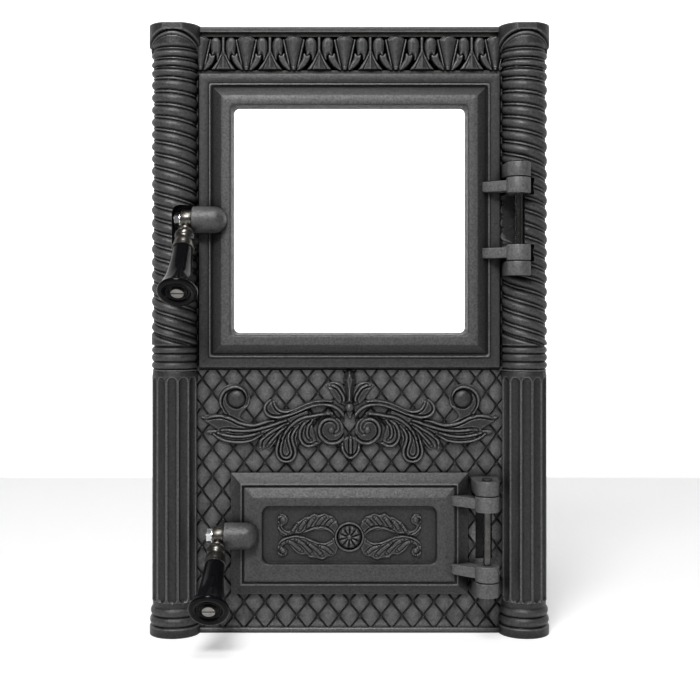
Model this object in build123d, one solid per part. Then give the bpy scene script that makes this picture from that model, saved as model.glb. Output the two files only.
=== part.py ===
from build123d import *
import math
import os

# Cast iron stove front with a glazed fire door above and an ash door below.
# Millimetres. +Z is up, the front looks along -Y, and +X is to the viewer's right.
# Y = 0 is the front face of the cast plate, and Z = 0 is its lower edge.
# "Rise" always means a height in front of that face.

# Overall
WIDTH = 350.0
HEIGHT = 530.0
PLATE_T = 6.0

# Columns
CAP_R = 22.4
SHAFT_R = 20.5
BAND_R = 18.8
COLUMN_HOLLOW_R = 13.0
HOLLOW_END_WALL = 14.0
HOLLOW_FROM_HINGE = 62.0
BASE_H = 29.5
FLUTE_TOP = 224.0
RINGS_TOP = 252.0
RING_COUNT = 3
RING_DEPTH = 2.4
CAP_H = 23.0
BEAD_PITCH = 11.4
BEAD_DEPTH = 4.0
BEAD_TILT = 12.0
FLUTE_W = 8.4
FLUTE_DEPTH = 2.2
FLUTE_STEP = 29.0
FLUTES_PER_SIDE = 3
FLUTE_END_GAP = 4.0

# Rails, frieze and lattice ground of the plate
TOP_RAIL_H = 5.0
BOTTOM_RAIL_H = 4.5
RAIL_RISE = 4.0
SIDE_BEAD_W = 3.2
SIDE_BEAD_RISE = 2.0
SIDE_BEAD_SHOW = 0.7
FRIEZE_Z = 490.5
FRIEZE_RISE = 3.2
TONGUE_PITCH = 43.1
TONGUES_PER_SIDE = 3
TONGUE_W = 10.5
TONGUE_TIP_R = 2.4
DIAMOND_W = 18.2
DIAMOND_H = 24.3
LATTICE_TOP = 229.0
GROOVE_W = 3.0
GROOVE_DEPTH = 1.4
ORNAMENT_RISE = 3.5
ORNAMENT_ROOT = 2.0
RAIL_GAP = 4.0
VOLUTE_W = 4.4
RIDGE_W = 3.2
SCROLL_BALL_R = 7.2

# Doors
UPPER_SIDE_GAP = 1.1
UPPER_H = 256.0
UPPER_Z = 360.3
LOWER_W = 207.0
LOWER_H = 106.0
LOWER_Z = 87.0
DOOR_GAP = 1.0
RIM_T = 6.0
RIM_W = 12.0
DOOR_T = 12.0
BEVEL_W = 8.3
RIM_BEAD_W = 2.2
RIM_BEAD_RISE = 1.2
RIM_BEAD_GAP = 1.4
GLASS_BORDER = 28.0
SIGHT_CORNER_R = 4.5
SIGHT_DRAFT = 5.0
PANEL_INSET_X = 27.0
PANEL_INSET_Z = 27.0
PANEL_DEPTH = 5.0
PANEL_CORNER_R = 6.5
LOWER_EDGE_T = 3.0
LOWER_BEVEL_W = 8.8
LOWER_STEP_T = 8.0
LOWER_LAND = 11.5
BACK_RECESS = 4.0
ROSETTE_PETALS = 10

# Rope seals and their grooves
ROPE_W = 7.0
ROPE_GROOVE_DEPTH = 3.5
ROPE_INSET = 5.0
ROPE_STAND = 0.6
ROPE_SIDE_GAP = 0.25
MOUTH_MARGIN = 1.0

# Glass and what holds it
GLASS_T = 4.0
GLASS_LAP = 4.0
GASKET_T = 1.6
CLIP_W = 14.0
CLIP_T = 1.2
CLIP_LAP = 5.0
CLIP_EDGE_GAP = 0.4
CLIP_SCREW_INSET = 18.2
CLIP_SCREW_R = 2.0
CLIP_SCREW_HEAD_R = 3.4
CLIP_SCREW_HEAD_H = 2.2
CLIP_SCREW_DEPTH = 5.0

# Hinges
PIN_R = 3.25
PIN_CLEARANCE = 0.05
PIN_RISE = 25.0
KNUCKLE_R = 10.4
KNUCKLE_H = 13.4
ARM_H = 9.0
ARM_R = 7.0
ARM_ROOT = 16.0
ARM_ROOM = 1.5
LUG_H = 12.4
LUG_GAP = 0.7
UPPER_PIN_OUTSET = 13.7
UPPER_HINGE_SPAN = 97.0
LOWER_PIN_OUTSET = 14.3
LOWER_HINGE_SPAN = 99.0
NOTCH_R = 15.5
UPPER_POCKET_W = 18.8
LOWER_SLOT_W = 14.5
LOWER_SLOT_DEPTH = 4.2
PIN_HEAD_R = 4.4
PIN_HEAD_H = 1.6

# Handles
BOSS_R = 11.5
BOSS_RISE = 14.6
BOSS_LEN = 30.0
BOSS_OVERHANG = 4.4
EYE_R = 8.8
EYE_W = 9.6
EYE_GAP = 0.3
STUD_R = 4.0
STUD_DEPTH = 20.0
NUT_ACROSS = 11.0
NUT_T = 4.2
WASHER_R = 6.6
WASHER_T = 0.8
UPPER_LEAN = 41.0
LOWER_LEAN = 57.0
NECK_R = 4.7
COLLAR_1 = (15.0, 19.0, 7.6)
COLLAR_2 = (20.0, 30.0, 6.4)
FERRULE_START = 33.0
FERRULE_T = 3.0
FERRULE_R = 9.6
GRIP_LEN = 50.0
GRIP_R = 8.6
GRIP_WAIST = 0.45
GRIP_END_R = 16.9
GRIP_RECESS_R = 9.8
GRIP_RECESS_DEPTH = 3.0
TANG_R = 3.2
TANG_CLEARANCE = 0.1
END_SCREW_R = 5.4
END_SCREW_H = 2.4
NOSE_T = 4.0
NOSE_R = 9.8
NOSE_HALF_H = 5.0
NOTCH_FLOOR_RISE = 0.5
HANDLE_NOTCH_UP = 1.2
HANDLE_NOTCH_DOWN = 27.0
HANDLE_NOTCH_SIDE = 2.5

# Rear collars and anchor bosses
COLLAR_WALL = 5.0
COLLAR_DEPTH = 25.0
ANCHOR_X = 110.0
ANCHOR_LOW = 20.0
ANCHOR_HIGH = 500.0
ANCHOR_BOSS_W = 20.0
ANCHOR_BOSS_DEPTH = 20.0
ANCHOR_HOLE_R = 4.0
ANCHOR_HOLE_DEPTH = 12.0

# Worked out from the sizes above
COLUMN_X = WIDTH / 2 - CAP_R
FIELD_X = COLUMN_X - SHAFT_R
UPPER_W = 2 * (FIELD_X - UPPER_SIDE_GAP)
UPPER_PIN_X = UPPER_W / 2 + UPPER_PIN_OUTSET
LOWER_PIN_X = LOWER_W / 2 + LOWER_PIN_OUTSET
DOOR_BACK = -DOOR_GAP
MOUTH_INSET = ROPE_INSET + ROPE_W + MOUTH_MARGIN
SIGHT_W = UPPER_W - 2 * GLASS_BORDER
SIGHT_H = UPPER_H - 2 * GLASS_BORDER
GLASS_Y = DOOR_BACK + GASKET_T
GRIP_START = FERRULE_START + FERRULE_T
GRIP_END = GRIP_START + GRIP_LEN
DOORS = {
    "upper": (UPPER_W, UPPER_H, UPPER_Z, UPPER_PIN_X, UPPER_HINGE_SPAN, UPPER_LEAN),
    "lower": (LOWER_W, LOWER_H, LOWER_Z, LOWER_PIN_X, LOWER_HINGE_SPAN, LOWER_LEAN),
}


# Helpers

def block(x, y, z):
    """Box given by its low and high values along X, Y and Z."""
    size = Box(x[1] - x[0], y[1] - y[0], z[1] - z[0])
    return Pos((x[0] + x[1]) / 2, (y[0] + y[1]) / 2, (z[0] + z[1]) / 2) * size


def front(rise=0.0):
    """Drawing plane seen from the front, at a rise before the plate's face."""
    return Plane(origin=(0, -rise, 0), x_dir=(1, 0, 0), z_dir=(0, -1, 0))


def relief(sketch, rise, start=0.0, taper=0.0):
    """A front sketch raised from one rise to another."""
    return extrude(front(start) * sketch, amount=rise - start, taper=taper)


def cast_on(sketch, rise):
    """Ornament raised on the plate and rooted below its grooves."""
    return relief(sketch, rise, -ORNAMENT_ROOT)


def frame_sketch(w, h, inset, band, z):
    """Rectangular band, inset from a w by h outline centred at height z."""
    outer = Rectangle(w - 2 * inset, h - 2 * inset)
    inner = Rectangle(w - 2 * inset - 2 * band, h - 2 * inset - 2 * band)
    return Pos(0, z) * (outer - inner)


def curve(points, steps):
    """Places along a smooth curve, in even steps."""
    path = Spline(*points)
    return [path @ (step / steps) for step in range(steps + 1)]


def stroke(points, width, steps=14):
    """Ribbon along a smooth curve, narrowing at both ends."""
    path = Spline(*points)
    one_side = []
    other_side = []
    for step in range(steps + 1):
        t = step / steps
        half = width / 2 * min(1.0, 0.45 + 4 * min(t, 1 - t))
        along = path % t
        across = Vector(-along.Y, along.X) * half
        one_side.append(path @ t + across)
        other_side.append(path @ t - across)
    return make_face(Polyline(*one_side, *reversed(other_side), close=True))


def leaf(upper, lower, steps=7):
    """Leaf between two smooth edges that share both ends."""
    edge = curve(upper, steps) + curve(lower, steps)[-2:0:-1]
    return make_face(Polyline(*edge, close=True))


def symmetric(edge, steps=7):
    """Outline that is one smooth edge and its mirror image about the upright axis."""
    half = curve(edge, steps)
    other = [Vector(-p.X, p.Y) for p in reversed(half) if abs(p.X) > 0.01]
    return make_face(Polyline(*half, *other, close=True))


def both_sides(shape):
    return shape + mirror(shape, about=Plane.YZ)


def upright(radius, z, x, rise):
    """Upright round bar of given radius between two heights."""
    bar = Cylinder(radius, z[1] - z[0], align=(Align.CENTER, Align.CENTER, Align.MIN))
    return Pos(x, -rise, z[0]) * bar


def crosswise(radius, x, rise, z):
    """Round bar along X between two places."""
    bar = Cylinder(radius, x[1] - x[0], align=(Align.CENTER, Align.CENTER, Align.MIN))
    return Pos(x[0], -rise, z) * Rot(0, 90, 0) * bar


def turned(points):
    """Solid turned about Z from its half outline, given as radius and height."""
    outline = Polyline(*[(r, 0, z) for r, z in points], close=True)
    return revolve(make_face(outline), Axis.Z)


# Columns

def half_turned(points):
    outline = Polyline(*[(r, 0, z) for r, z in points], close=True)
    return revolve(make_face(outline), Axis.Z, revolution_arc=-180)


def rope_shaft():
    """Stack of beads leaning across the column, cut level above and below."""
    low = RINGS_TOP
    high = HEIGHT - CAP_H
    slope = math.tan(math.radians(BEAD_TILT))
    spare = math.ceil(SHAFT_R * slope / BEAD_PITCH) + 1
    count = math.ceil((high - low) / BEAD_PITCH) + 2 * spare
    start = low - spare * BEAD_PITCH
    outline = [(0, start)]
    for bead in range(count):
        z = start + bead * BEAD_PITCH
        outline.append((SHAFT_R - BEAD_DEPTH, z))
        outline.append((SHAFT_R, z + BEAD_PITCH / 2))
    top = start + count * BEAD_PITCH
    outline += [(SHAFT_R - BEAD_DEPTH, top), (0, top)]
    lean = Matrix([[1, 0, 0, 0], [0, 1, 0, 0], [-slope, 0, 1, 0], [0, 0, 0, 1]])
    stack = half_turned(outline).solids()[0].transform_geometry(lean)
    reach = 2 * SHAFT_R
    return stack & block((-reach, reach), (-reach, reach), (low, high))


def rings(low, high):
    """Half outline of the round mouldings between the rope and the flutes."""
    step = (high - low) / RING_COUNT
    points = []
    for ring in range(RING_COUNT):
        z = low + ring * step
        points += [(SHAFT_R - RING_DEPTH, z), (SHAFT_R, z + step / 2)]
    return points + [(SHAFT_R - RING_DEPTH, high)]


def fluted_shaft():
    """Shaft with hollow flutes, standing on a moulded base."""
    base = [(0, 0), (CAP_R, 0), (CAP_R, 8), (CAP_R - 2.6, 9.5), (CAP_R - 0.8, 12)]
    base += [(CAP_R - 2.6, 16), (CAP_R - 1.2, 19), (CAP_R - 2.2, 23)]
    base += [(BAND_R, 24), (BAND_R, FLUTE_TOP + 4)]
    shaft = half_turned(base + rings(FLUTE_TOP + 4, RINGS_TOP) + [(0, RINGS_TOP)])
    low = BASE_H + FLUTE_END_GAP
    high = FLUTE_TOP - FLUTE_END_GAP
    depth = BAND_R - FLUTE_DEPTH
    hollow = Polyline((-FLUTE_W / 2, -BAND_R - 2), (-FLUTE_W / 4, -depth),
                      (FLUTE_W / 4, -depth), (FLUTE_W / 2, -BAND_R - 2), close=True)
    tool = Pos(0, 0, low) * extrude(make_face(hollow), amount=high - low)
    for side in range(-FLUTES_PER_SIDE, FLUTES_PER_SIDE + 1):
        shaft -= Rot(0, 0, side * FLUTE_STEP) * tool
    return shaft


def capital():
    low = HEIGHT - CAP_H
    points = [(0, low), (CAP_R - 2.6, low), (CAP_R - 0.4, low + 5), (CAP_R - 2.6, low + 10.5)]
    points += [(CAP_R, low + 13)]
    return half_turned(points + [(CAP_R, HEIGHT), (0, HEIGHT)])


def column():
    """Half-round column with a hollow back, except where hinge and latch bear on it."""
    shape = rope_shaft() + fluted_shaft() + capital()
    return shape - column_hollow()


def column_hollow():
    """Space in a column's back, left out where the fire door's hinge and latch bear on it."""
    low = (HOLLOW_END_WALL, UPPER_Z - HOLLOW_FROM_HINGE)
    high = (UPPER_Z + HOLLOW_FROM_HINGE, HEIGHT - HOLLOW_END_WALL)
    return upright(COLUMN_HOLLOW_R, low, 0, 0) + upright(COLUMN_HOLLOW_R, high, 0, 0)


# Ornament of the plate

def lattice_grooves():
    """V grooves on both diagonals, kept inside the field around the lower door."""
    half = FIELD_X - 1.0
    low = BOTTOM_RAIL_H + 1.5
    angle = math.degrees(math.atan2(DIAMOND_H, DIAMOND_W))
    reach = math.hypot(2 * half, LATTICE_TOP)
    vee = Polyline((-GROOVE_W / 2, 0), (0, GROOVE_DEPTH), (GROOVE_W / 2, 0), close=True)
    bar = extrude(Plane(origin=(0, 0, 0), x_dir=(0, 0, 1), z_dir=(-1, 0, 0)) * make_face(vee),
                  amount=reach / 2, both=True)
    middle = LATTICE_TOP / 2
    rows = int((half * DIAMOND_H / DIAMOND_W + middle) / DIAMOND_H) + 1
    cuts = []
    for row in range(-rows, rows + 1):
        for way in (-1, 1):
            cuts.append(Pos(0, 0, middle + row * DIAMOND_H) * Rot(0, way * angle, 0) * bar)
    field = block((-half, half), (-1, GROOVE_DEPTH + 1), (low, LATTICE_TOP))
    margin = 5.0
    side = LOWER_W / 2 + margin
    field -= block(
        (-side, LOWER_PIN_X + KNUCKLE_R + margin),
        (-2, PLATE_T),
        (LOWER_Z - LOWER_H / 2 - margin, LOWER_Z + LOWER_H / 2 + margin),
    )
    pieces = [field & cut for cut in cuts]
    return [piece for piece in pieces if piece.volume > 0]


def tongue(drop):
    """Tapering tongue with a pointed foot."""
    return symmetric([(-TONGUE_W / 2, 0), (-TONGUE_TIP_R * 1.3, -drop * 0.6), (0, -drop)], 5)


def hooked_leaf(drop):
    """Leaf that swells beside the tongue and hooks back above the tongue's foot."""
    near = TONGUE_W / 2 + 1.2
    far = TONGUE_PITCH / 2 - 4.6
    return leaf(
        [(near, 0), (near * 0.75, -drop * 0.45), (near * 0.35, -drop * 0.9),
         (far * 0.6, -drop * 0.82), (far * 0.95, -drop * 0.7)],
        [(near, 0), (far, 0), (far * 0.93, -drop * 0.35), (far * 0.95, -drop * 0.7)], 8)


def dart(drop):
    """Dart with curved sides that flares to a broad foot."""
    foot = TONGUE_PITCH * 0.29
    return symmetric([(-0.9, 0), (-1.7, -drop * 0.45), (-foot * 0.4, -drop * 0.8), (-foot, -drop)], 5)


def frieze(top):
    """Row of tongues between hooked leaves, with a dart in every gap."""
    drop = top - FRIEZE_Z
    middle = cast_on(tongue(drop), FRIEZE_RISE + 0.6)
    leaves = both_sides(cast_on(hooked_leaf(drop), FRIEZE_RISE))
    gap = cast_on(dart(drop), FRIEZE_RISE - 0.8)
    shapes = Part()
    for place in range(-TONGUES_PER_SIDE, TONGUES_PER_SIDE + 1):
        shapes += Pos(place * TONGUE_PITCH, 0, top) * (middle + leaves)
    for place in range(-TONGUES_PER_SIDE, TONGUES_PER_SIDE):
        shapes += Pos((place + 0.5) * TONGUE_PITCH, 0, top) * gap
    return shapes & block((-FIELD_X, FIELD_X), (-2 * RAIL_RISE, PLATE_T), (FRIEZE_Z, top))


def scroll_half():
    """Left half of the acanthus scroll under the upper door."""
    leaf_a = leaf(
        [(-129.5, 188.2), (-115.9, 190.0), (-97.0, 183.9), (-74.4, 183.0), (-59.0, 185.6)],
        [(-129.5, 188.2), (-117.7, 180.4), (-100.0, 177.8), (-72.6, 180.0), (-59.0, 185.6)],
    )
    leaf_b = leaf(
        [(-124.1, 175.7), (-104.2, 173.3), (-79.8, 176.5), (-62.0, 184.0)],
        [(-124.1, 175.7), (-113.2, 168.3), (-94.0, 165.7), (-76.2, 172.6), (-62.0, 184.0)],
    )
    leaf_c = leaf(
        [(-79.8, 160.5), (-78.9, 169.2), (-72.6, 176.1), (-54.5, 185.6)],
        [(-79.8, 160.5), (-69.5, 163.0), (-62.0, 172.0), (-54.5, 185.6)],
    )
    volute = stroke(
        [(-65.3, 206.5), (-75.5, 198.5), (-68.0, 187.8), (-48.2, 192.1), (-25.0, 199.5),
         (-6.6, 191.7), (-3.9, 174.4), (-15.6, 165.7), (-26.9, 174.4), (-21.0, 186.1),
         (-11.0, 182.5), (-13.5, 177.5)],
        VOLUTE_W,
    )
    ridge = stroke([(-66.2, 202.1), (-58.5, 193.9), (-42.7, 197.8), (-26.0, 202.4),
                    (-12.9, 201.2)], RIDGE_W)
    drop = stroke([(-52.0, 180.4), (-61.5, 166.0), (-62.0, 153.5), (-55.0, 149.5),
                   (-49.8, 156.5), (-53.0, 168.0), (-48.0, 180.0)], RIDGE_W)
    crescent = stroke([(-36.4, 184.5), (-43.0, 174.5), (-38.5, 164.5), (-29.5, 165.5)], VOLUTE_W)
    curl = stroke([(-91.0, 199.0), (-100.6, 214.5), (-113.0, 204.0), (-108.0, 190.5),
                   (-86.1, 182.2)], RIDGE_W)
    shape = cast_on(leaf_a, ORNAMENT_RISE) + cast_on(leaf_b, ORNAMENT_RISE - 0.6)
    shape += cast_on(leaf_c, ORNAMENT_RISE - 0.6)
    for line in (volute, ridge, drop, crescent, curl):
        shape += cast_on(line, ORNAMENT_RISE)
    dome = Sphere(SCROLL_BALL_R) & block((-20, 20), (-20, 0), (-20, 20))
    return shape + Pos(-100.6, SCROLL_BALL_R * 0.4, 203.9) * dome


def palmette():
    """Middle of the scroll: spike, two petals, a ball and a drop below."""
    foot = 203.0
    spike = symmetric([(-1.2, foot), (-4.4, 214), (0, LATTICE_TOP - 1)])
    petal = leaf([(-2.0, 200.0), (-3.0, foot), (-10.0, 209.5), (-19.7, 217.7)],
                 [(-2.0, 200.0), (-12.0, 203.5), (-19.7, 217.7)])
    cup = symmetric([(-9.5, 163.1), (-7.0, 155.5), (0, 151.8)])
    shape = cast_on(spike, ORNAMENT_RISE) + both_sides(cast_on(petal, ORNAMENT_RISE - 0.8))
    shape += cast_on(cup, ORNAMENT_RISE)
    shape += cast_on(Pos(0, 196.2) * RegularPolygon(4.0, 12), ORNAMENT_RISE)
    return shape


def plate_ornament():
    top = HEIGHT - TOP_RAIL_H - RAIL_GAP
    shape = cast_on(rail(HEIGHT - TOP_RAIL_H, HEIGHT), RAIL_RISE)
    shape += cast_on(rail(0, BOTTOM_RAIL_H), RAIL_RISE)
    strip = Pos(FIELD_X + SIDE_BEAD_W / 2 - SIDE_BEAD_SHOW, (LATTICE_TOP + FRIEZE_Z) / 2)
    strip = strip * Rectangle(SIDE_BEAD_W, FRIEZE_Z - LATTICE_TOP)
    shape += both_sides(cast_on(strip, SIDE_BEAD_RISE))
    shape += frieze(top)
    shape += both_sides(scroll_half()) + palmette()
    return shape


def rail(low, high):
    """Full-width strip of the plate between two heights."""
    return Pos(0, (low + high) / 2) * Rectangle(2 * COLUMN_X, high - low)


# Hinges

def hinge_levels(door):
    """Height ranges of a door's hinge: frame lugs, door knuckles and door arms."""
    w, h, z, pin_x, span, lean = DOORS[door]
    levels = {"lug": [], "knuckle": [], "arm": []}
    for way in (-1, 1):
        far = z + way * span / 2
        lug = sorted((far, far - way * LUG_H))
        near = far - way * (LUG_H + LUG_GAP)
        knuckle = sorted((near, near - way * KNUCKLE_H))
        middle = (knuckle[0] + knuckle[1]) / 2
        levels["lug"].append(lug)
        levels["knuckle"].append(knuckle)
        levels["arm"].append((middle - ARM_H / 2, middle + ARM_H / 2))
    return levels


def arm_outline(door, spare=0.0):
    """Plan of a door arm, from its root on the rim to round the pin."""
    w, h, z, pin_x, span, lean = DOORS[door]
    root_x = w / 2 - ARM_ROOT / 2
    low = RIM_T / 2 + DOOR_GAP
    root = Pos(root_x, -(low + DOOR_T * 0.75) / 2)
    root = root * Rectangle(ARM_ROOT + 2 * spare, DOOR_T * 0.75 - low + 2 * spare)
    return make_hull((Pos(pin_x, -PIN_RISE) * Circle(ARM_R + spare) + root).edges())


def knuckles(door):
    """Arms and knuckles of one door, bored for the pin."""
    w, h, z, pin_x, span, lean = DOORS[door]
    levels = hinge_levels(door)
    shape = Part()
    for low, high in levels["arm"]:
        shape += Pos(0, 0, low) * extrude(arm_outline(door), amount=high - low)
    for low, high in levels["knuckle"]:
        shape += upright(KNUCKLE_R, (low, high), pin_x, PIN_RISE)
    return shape


def pin_bore(door, radius):
    w, h, z, pin_x, span, lean = DOORS[door]
    return upright(radius, (z - span, z + span), pin_x, PIN_RISE)


def frame_lugs(door):
    """Two lugs that carry a hinge pin, standing out from the plate."""
    w, h, z, pin_x, span, lean = DOORS[door]
    foot = Pos(pin_x, 0) * Rectangle(2 * KNUCKLE_R + 4, 2)
    outline = make_hull((Pos(pin_x, -PIN_RISE) * Circle(KNUCKLE_R) + foot).edges())
    shape = Part()
    for low, high in hinge_levels(door)["lug"]:
        shape += Pos(0, 0, low) * extrude(outline, amount=high - low)
    return shape


def hinge_room(door):
    """Space that the door's knuckles and arms need in the column or plate."""
    w, h, z, pin_x, span, lean = DOORS[door]
    shape = Part()
    for low, high in hinge_levels(door)["knuckle"]:
        z0 = low - LUG_GAP
        tall = high - low + 2 * LUG_GAP
        shape += upright(NOTCH_R, (z0, z0 + tall), pin_x, PIN_RISE)
        shape += Pos(0, 0, z0) * extrude(arm_outline(door, ARM_ROOM), amount=tall)
    return shape


def hinge_pocket(door):
    """Recess between the two knuckles, behind the bare stretch of pin."""
    w, h, z, pin_x, span, lean = DOORS[door]
    inner = span / 2 - LUG_H - LUG_GAP - KNUCKLE_H
    if door == "upper":
        return block((FIELD_X, FIELD_X + UPPER_POCKET_W), (-60, -SIDE_BEAD_RISE),
                     (z - inner, z + inner))
    half = LOWER_SLOT_W / 2
    return block((pin_x - half, pin_x + half), (-60, LOWER_SLOT_DEPTH), (z - inner, z + inner))


def hinge_pin(door):
    w, h, z, pin_x, span, lean = DOORS[door]
    pin = upright(PIN_R, (z - span / 2, z + span / 2), pin_x, PIN_RISE)
    top = z + span / 2
    return pin + upright(PIN_HEAD_R, (top, top + PIN_HEAD_H), pin_x, PIN_RISE)


# Doors

def seal_ring(door, spare=0.0):
    """Plan of a rope seal, widened by a gap on both sides for its groove."""
    w, h, z, pin_x, span, lean = DOORS[door]
    return frame_sketch(w, h, ROPE_INSET - spare, ROPE_W + 2 * spare, z)


def upper_casting():
    """Glazed door: rim, bead, bevelled frame and tapered sight opening."""
    w, h, z, pin_x, span, lean = DOORS["upper"]
    rim = DOOR_GAP + RIM_T
    face = DOOR_GAP + DOOR_T
    shape = relief(Pos(0, z) * Rectangle(w, h), rim, DOOR_GAP)
    bead = frame_sketch(w, h, RIM_W - RIM_BEAD_W - RIM_BEAD_GAP, RIM_BEAD_W, z)
    shape += relief(bead, rim + RIM_BEAD_RISE, rim)
    slope = math.degrees(math.atan2(BEVEL_W, face - rim))
    raised = Pos(0, z) * Rectangle(w - 2 * RIM_W, h - 2 * RIM_W)
    shape += relief(raised, face, rim, slope)
    sight = Pos(0, z) * RectangleRounded(SIGHT_W, SIGHT_H, SIGHT_CORNER_R)
    shape -= extrude(front(face) * sight, amount=-DOOR_T, taper=SIGHT_DRAFT)
    shape += knuckles("upper")
    shape += handle_boss("upper")
    for x, zz, turn in clip_places():
        shape -= Pos(x, DOOR_BACK, zz) * Rot(90, 0, 0) * Cylinder(
            CLIP_SCREW_R, CLIP_SCREW_DEPTH, align=(Align.CENTER, Align.CENTER, Align.MIN))
    return finish_door("upper", shape)


def lower_casting():
    """Ash door: two bevels, a flat land and a sunken panel with a rosette."""
    w, h, z, pin_x, span, lean = DOORS["lower"]
    edge = DOOR_GAP + LOWER_EDGE_T
    step = DOOR_GAP + LOWER_STEP_T
    face = DOOR_GAP + DOOR_T
    shape = relief(Pos(0, z) * Rectangle(w, h), edge, DOOR_GAP)
    slope = math.degrees(math.atan2(LOWER_BEVEL_W, step - edge))
    shape += relief(Pos(0, z) * Rectangle(w, h), step, edge, slope)
    inner = Rectangle(w - 2 * LOWER_LAND, h - 2 * LOWER_LAND)
    slope = math.degrees(math.atan2(LOWER_BEVEL_W * 0.9, face - step))
    shape += relief(Pos(0, z) * inner, face, step, slope)
    panel = RectangleRounded(w - 2 * PANEL_INSET_X, h - 2 * PANEL_INSET_Z, PANEL_CORNER_R)
    shape -= relief(Pos(0, z) * panel, face + 1, face - PANEL_DEPTH)
    shape += Pos(0, 0, z) * medallion(face - PANEL_DEPTH)
    hollow = MOUTH_INSET + 2
    back = Pos(0, z) * Rectangle(w - 2 * hollow, h - 2 * hollow)
    shape -= relief(back, DOOR_GAP + BACK_RECESS, 0)
    shape += knuckles("lower")
    shape += handle_boss("lower")
    return finish_door("lower", shape)


def finish_door(door, shape):
    """Rope groove, pin bore and stud hole, cut in the whole casting."""
    w, h, z, pin_x, span, lean = DOORS[door]
    shape -= relief(seal_ring(door, ROPE_SIDE_GAP), DOOR_GAP + ROPE_GROOVE_DEPTH, 0)
    shape -= pin_bore(door, PIN_R + PIN_CLEARANCE)
    left = boss_left(door)
    return shape - crosswise(STUD_R, (left - 1, left + STUD_DEPTH), BOSS_RISE, z)


def medallion(floor):
    """Rosette between acanthus leaves, about the panel's middle."""
    def on_floor(sketch, height):
        return relief(sketch, floor + height, floor - 1)

    rosette = on_floor(RegularPolygon(12.6, 20) - RegularPolygon(10.6, 20), 1.6)
    for petal in range(ROSETTE_PETALS):
        turn = 360 / ROSETTE_PETALS * petal
        outline = Pos(6.3, 0) * rosette_petal()
        rosette += on_floor(Rot(0, 0, turn) * outline, 2.2)
    rosette += on_floor(RegularPolygon(3.2, 10), 2.8)
    half = on_floor(leaf([(-13.2, 7.0), (-16.5, 15.5), (-27.0, 19.0), (-53.8, 6.5)],
                         [(-13.2, 7.0), (-17.5, 4.4), (-30.0, 6.8), (-53.8, 6.5)]), 2.2)
    half += on_floor(leaf([(-13.2, -6.5), (-17.0, -14.5), (-27.0, -17.6), (-53.8, -3.5)],
                          [(-13.2, -6.5), (-18.0, -4.2), (-30.0, -6.0), (-53.8, -3.5)]), 2.2)
    for z in (15.0, -12.6):
        half += on_floor(Pos(-58.3, z) * RegularPolygon(3.4, 10), 2.4)
    half += on_floor(stroke([(-53.8, 1.3), (-61.5, 5.5), (-63.0, 13.0), (-58.3, 18.0)], 2.4, 8), 2)
    half += on_floor(stroke([(-53.8, -0.4), (-61.5, -4.0), (-63.0, -10.5), (-58.3, -15.6)], 2.4, 8), 2)
    return rosette + both_sides(half)


def rosette_petal():
    """Pointed petal of the rosette, lying along its own X axis."""
    return make_face(Polyline((-3.4, 0), (0, -1.7), (2.6, -1.3), (3.4, 0), (2.6, 1.3), (0, 1.7),
                              close=True))


# Glass

def clip_places():
    """Screw places of the glass clips, with the turn that points each at the glass."""
    w, h, z, pin_x, span, lean = DOORS["upper"]
    x = w / 2 - CLIP_SCREW_INSET
    up = h / 2 - CLIP_SCREW_INSET
    places = [(way * x, z + part * up * 0.6, 90 * way)
              for way in (-1, 1) for part in (-1, 1)]
    return places + [(0, z + up, 0), (0, z - up, 180)]


def glass_pane():
    w = SIGHT_W + 2 * GLASS_LAP
    h = SIGHT_H + 2 * GLASS_LAP
    return block((-w / 2, w / 2), (GLASS_Y, GLASS_Y + GLASS_T), (UPPER_Z - h / 2, UPPER_Z + h / 2))


def glass_gasket():
    ring = frame_sketch(SIGHT_W + 2 * GLASS_LAP, SIGHT_H + 2 * GLASS_LAP, 0, GLASS_LAP, UPPER_Z)
    return extrude(front(DOOR_GAP) * ring, amount=-GASKET_T)


def clip_outline():
    """Side view of a clip: foot on the door, riser, and tongue over the glass."""
    foot = CLIP_SCREW_HEAD_R + CLIP_EDGE_GAP
    edge = GLASS_BORDER - GLASS_LAP - CLIP_SCREW_INSET
    tip = edge + CLIP_LAP
    riser = edge - CLIP_EDGE_GAP
    door = -DOOR_BACK
    glass = -(GLASS_Y + GLASS_T)
    return make_face(Polyline(
        (foot, door), (-riser, door), (-riser, glass), (-tip, glass),
        (-tip, glass - CLIP_T), (CLIP_T - riser, glass - CLIP_T),
        (CLIP_T - riser, door - CLIP_T), (foot, door - CLIP_T), close=True,
    ))


def glass_clips():
    """Z-bent clips, each screwed to the door's back and lapping over the glass."""
    side = Plane(origin=(-CLIP_W / 2, 0, 0), x_dir=(0, 0, 1), z_dir=(1, 0, 0))
    clip = extrude(side * clip_outline(), amount=CLIP_W)
    clip -= Pos(0, DOOR_BACK - 1, 0) * Rot(-90, 0, 0) * Cylinder(
        CLIP_SCREW_R + 0.2, CLIP_T + 2, align=(Align.CENTER, Align.CENTER, Align.MIN))
    return [Pos(x, 0, z) * Rot(0, turn, 0) * clip for x, z, turn in clip_places()]


def glass_clip_screws():
    """Hexagon screws through the clips."""
    reach = CLIP_SCREW_DEPTH - 0.5
    screw = Cylinder(CLIP_SCREW_R, reach + CLIP_T,
                     align=(Align.CENTER, Align.CENTER, Align.MAX))
    screw += extrude(RegularPolygon(CLIP_SCREW_HEAD_R, 6), amount=CLIP_SCREW_HEAD_H)
    screw = Pos(0, DOOR_BACK + CLIP_T, 0) * Rot(-90, 0, 0) * screw
    return [Pos(x, 0, z) * screw for x, z, turn in clip_places()]


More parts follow.
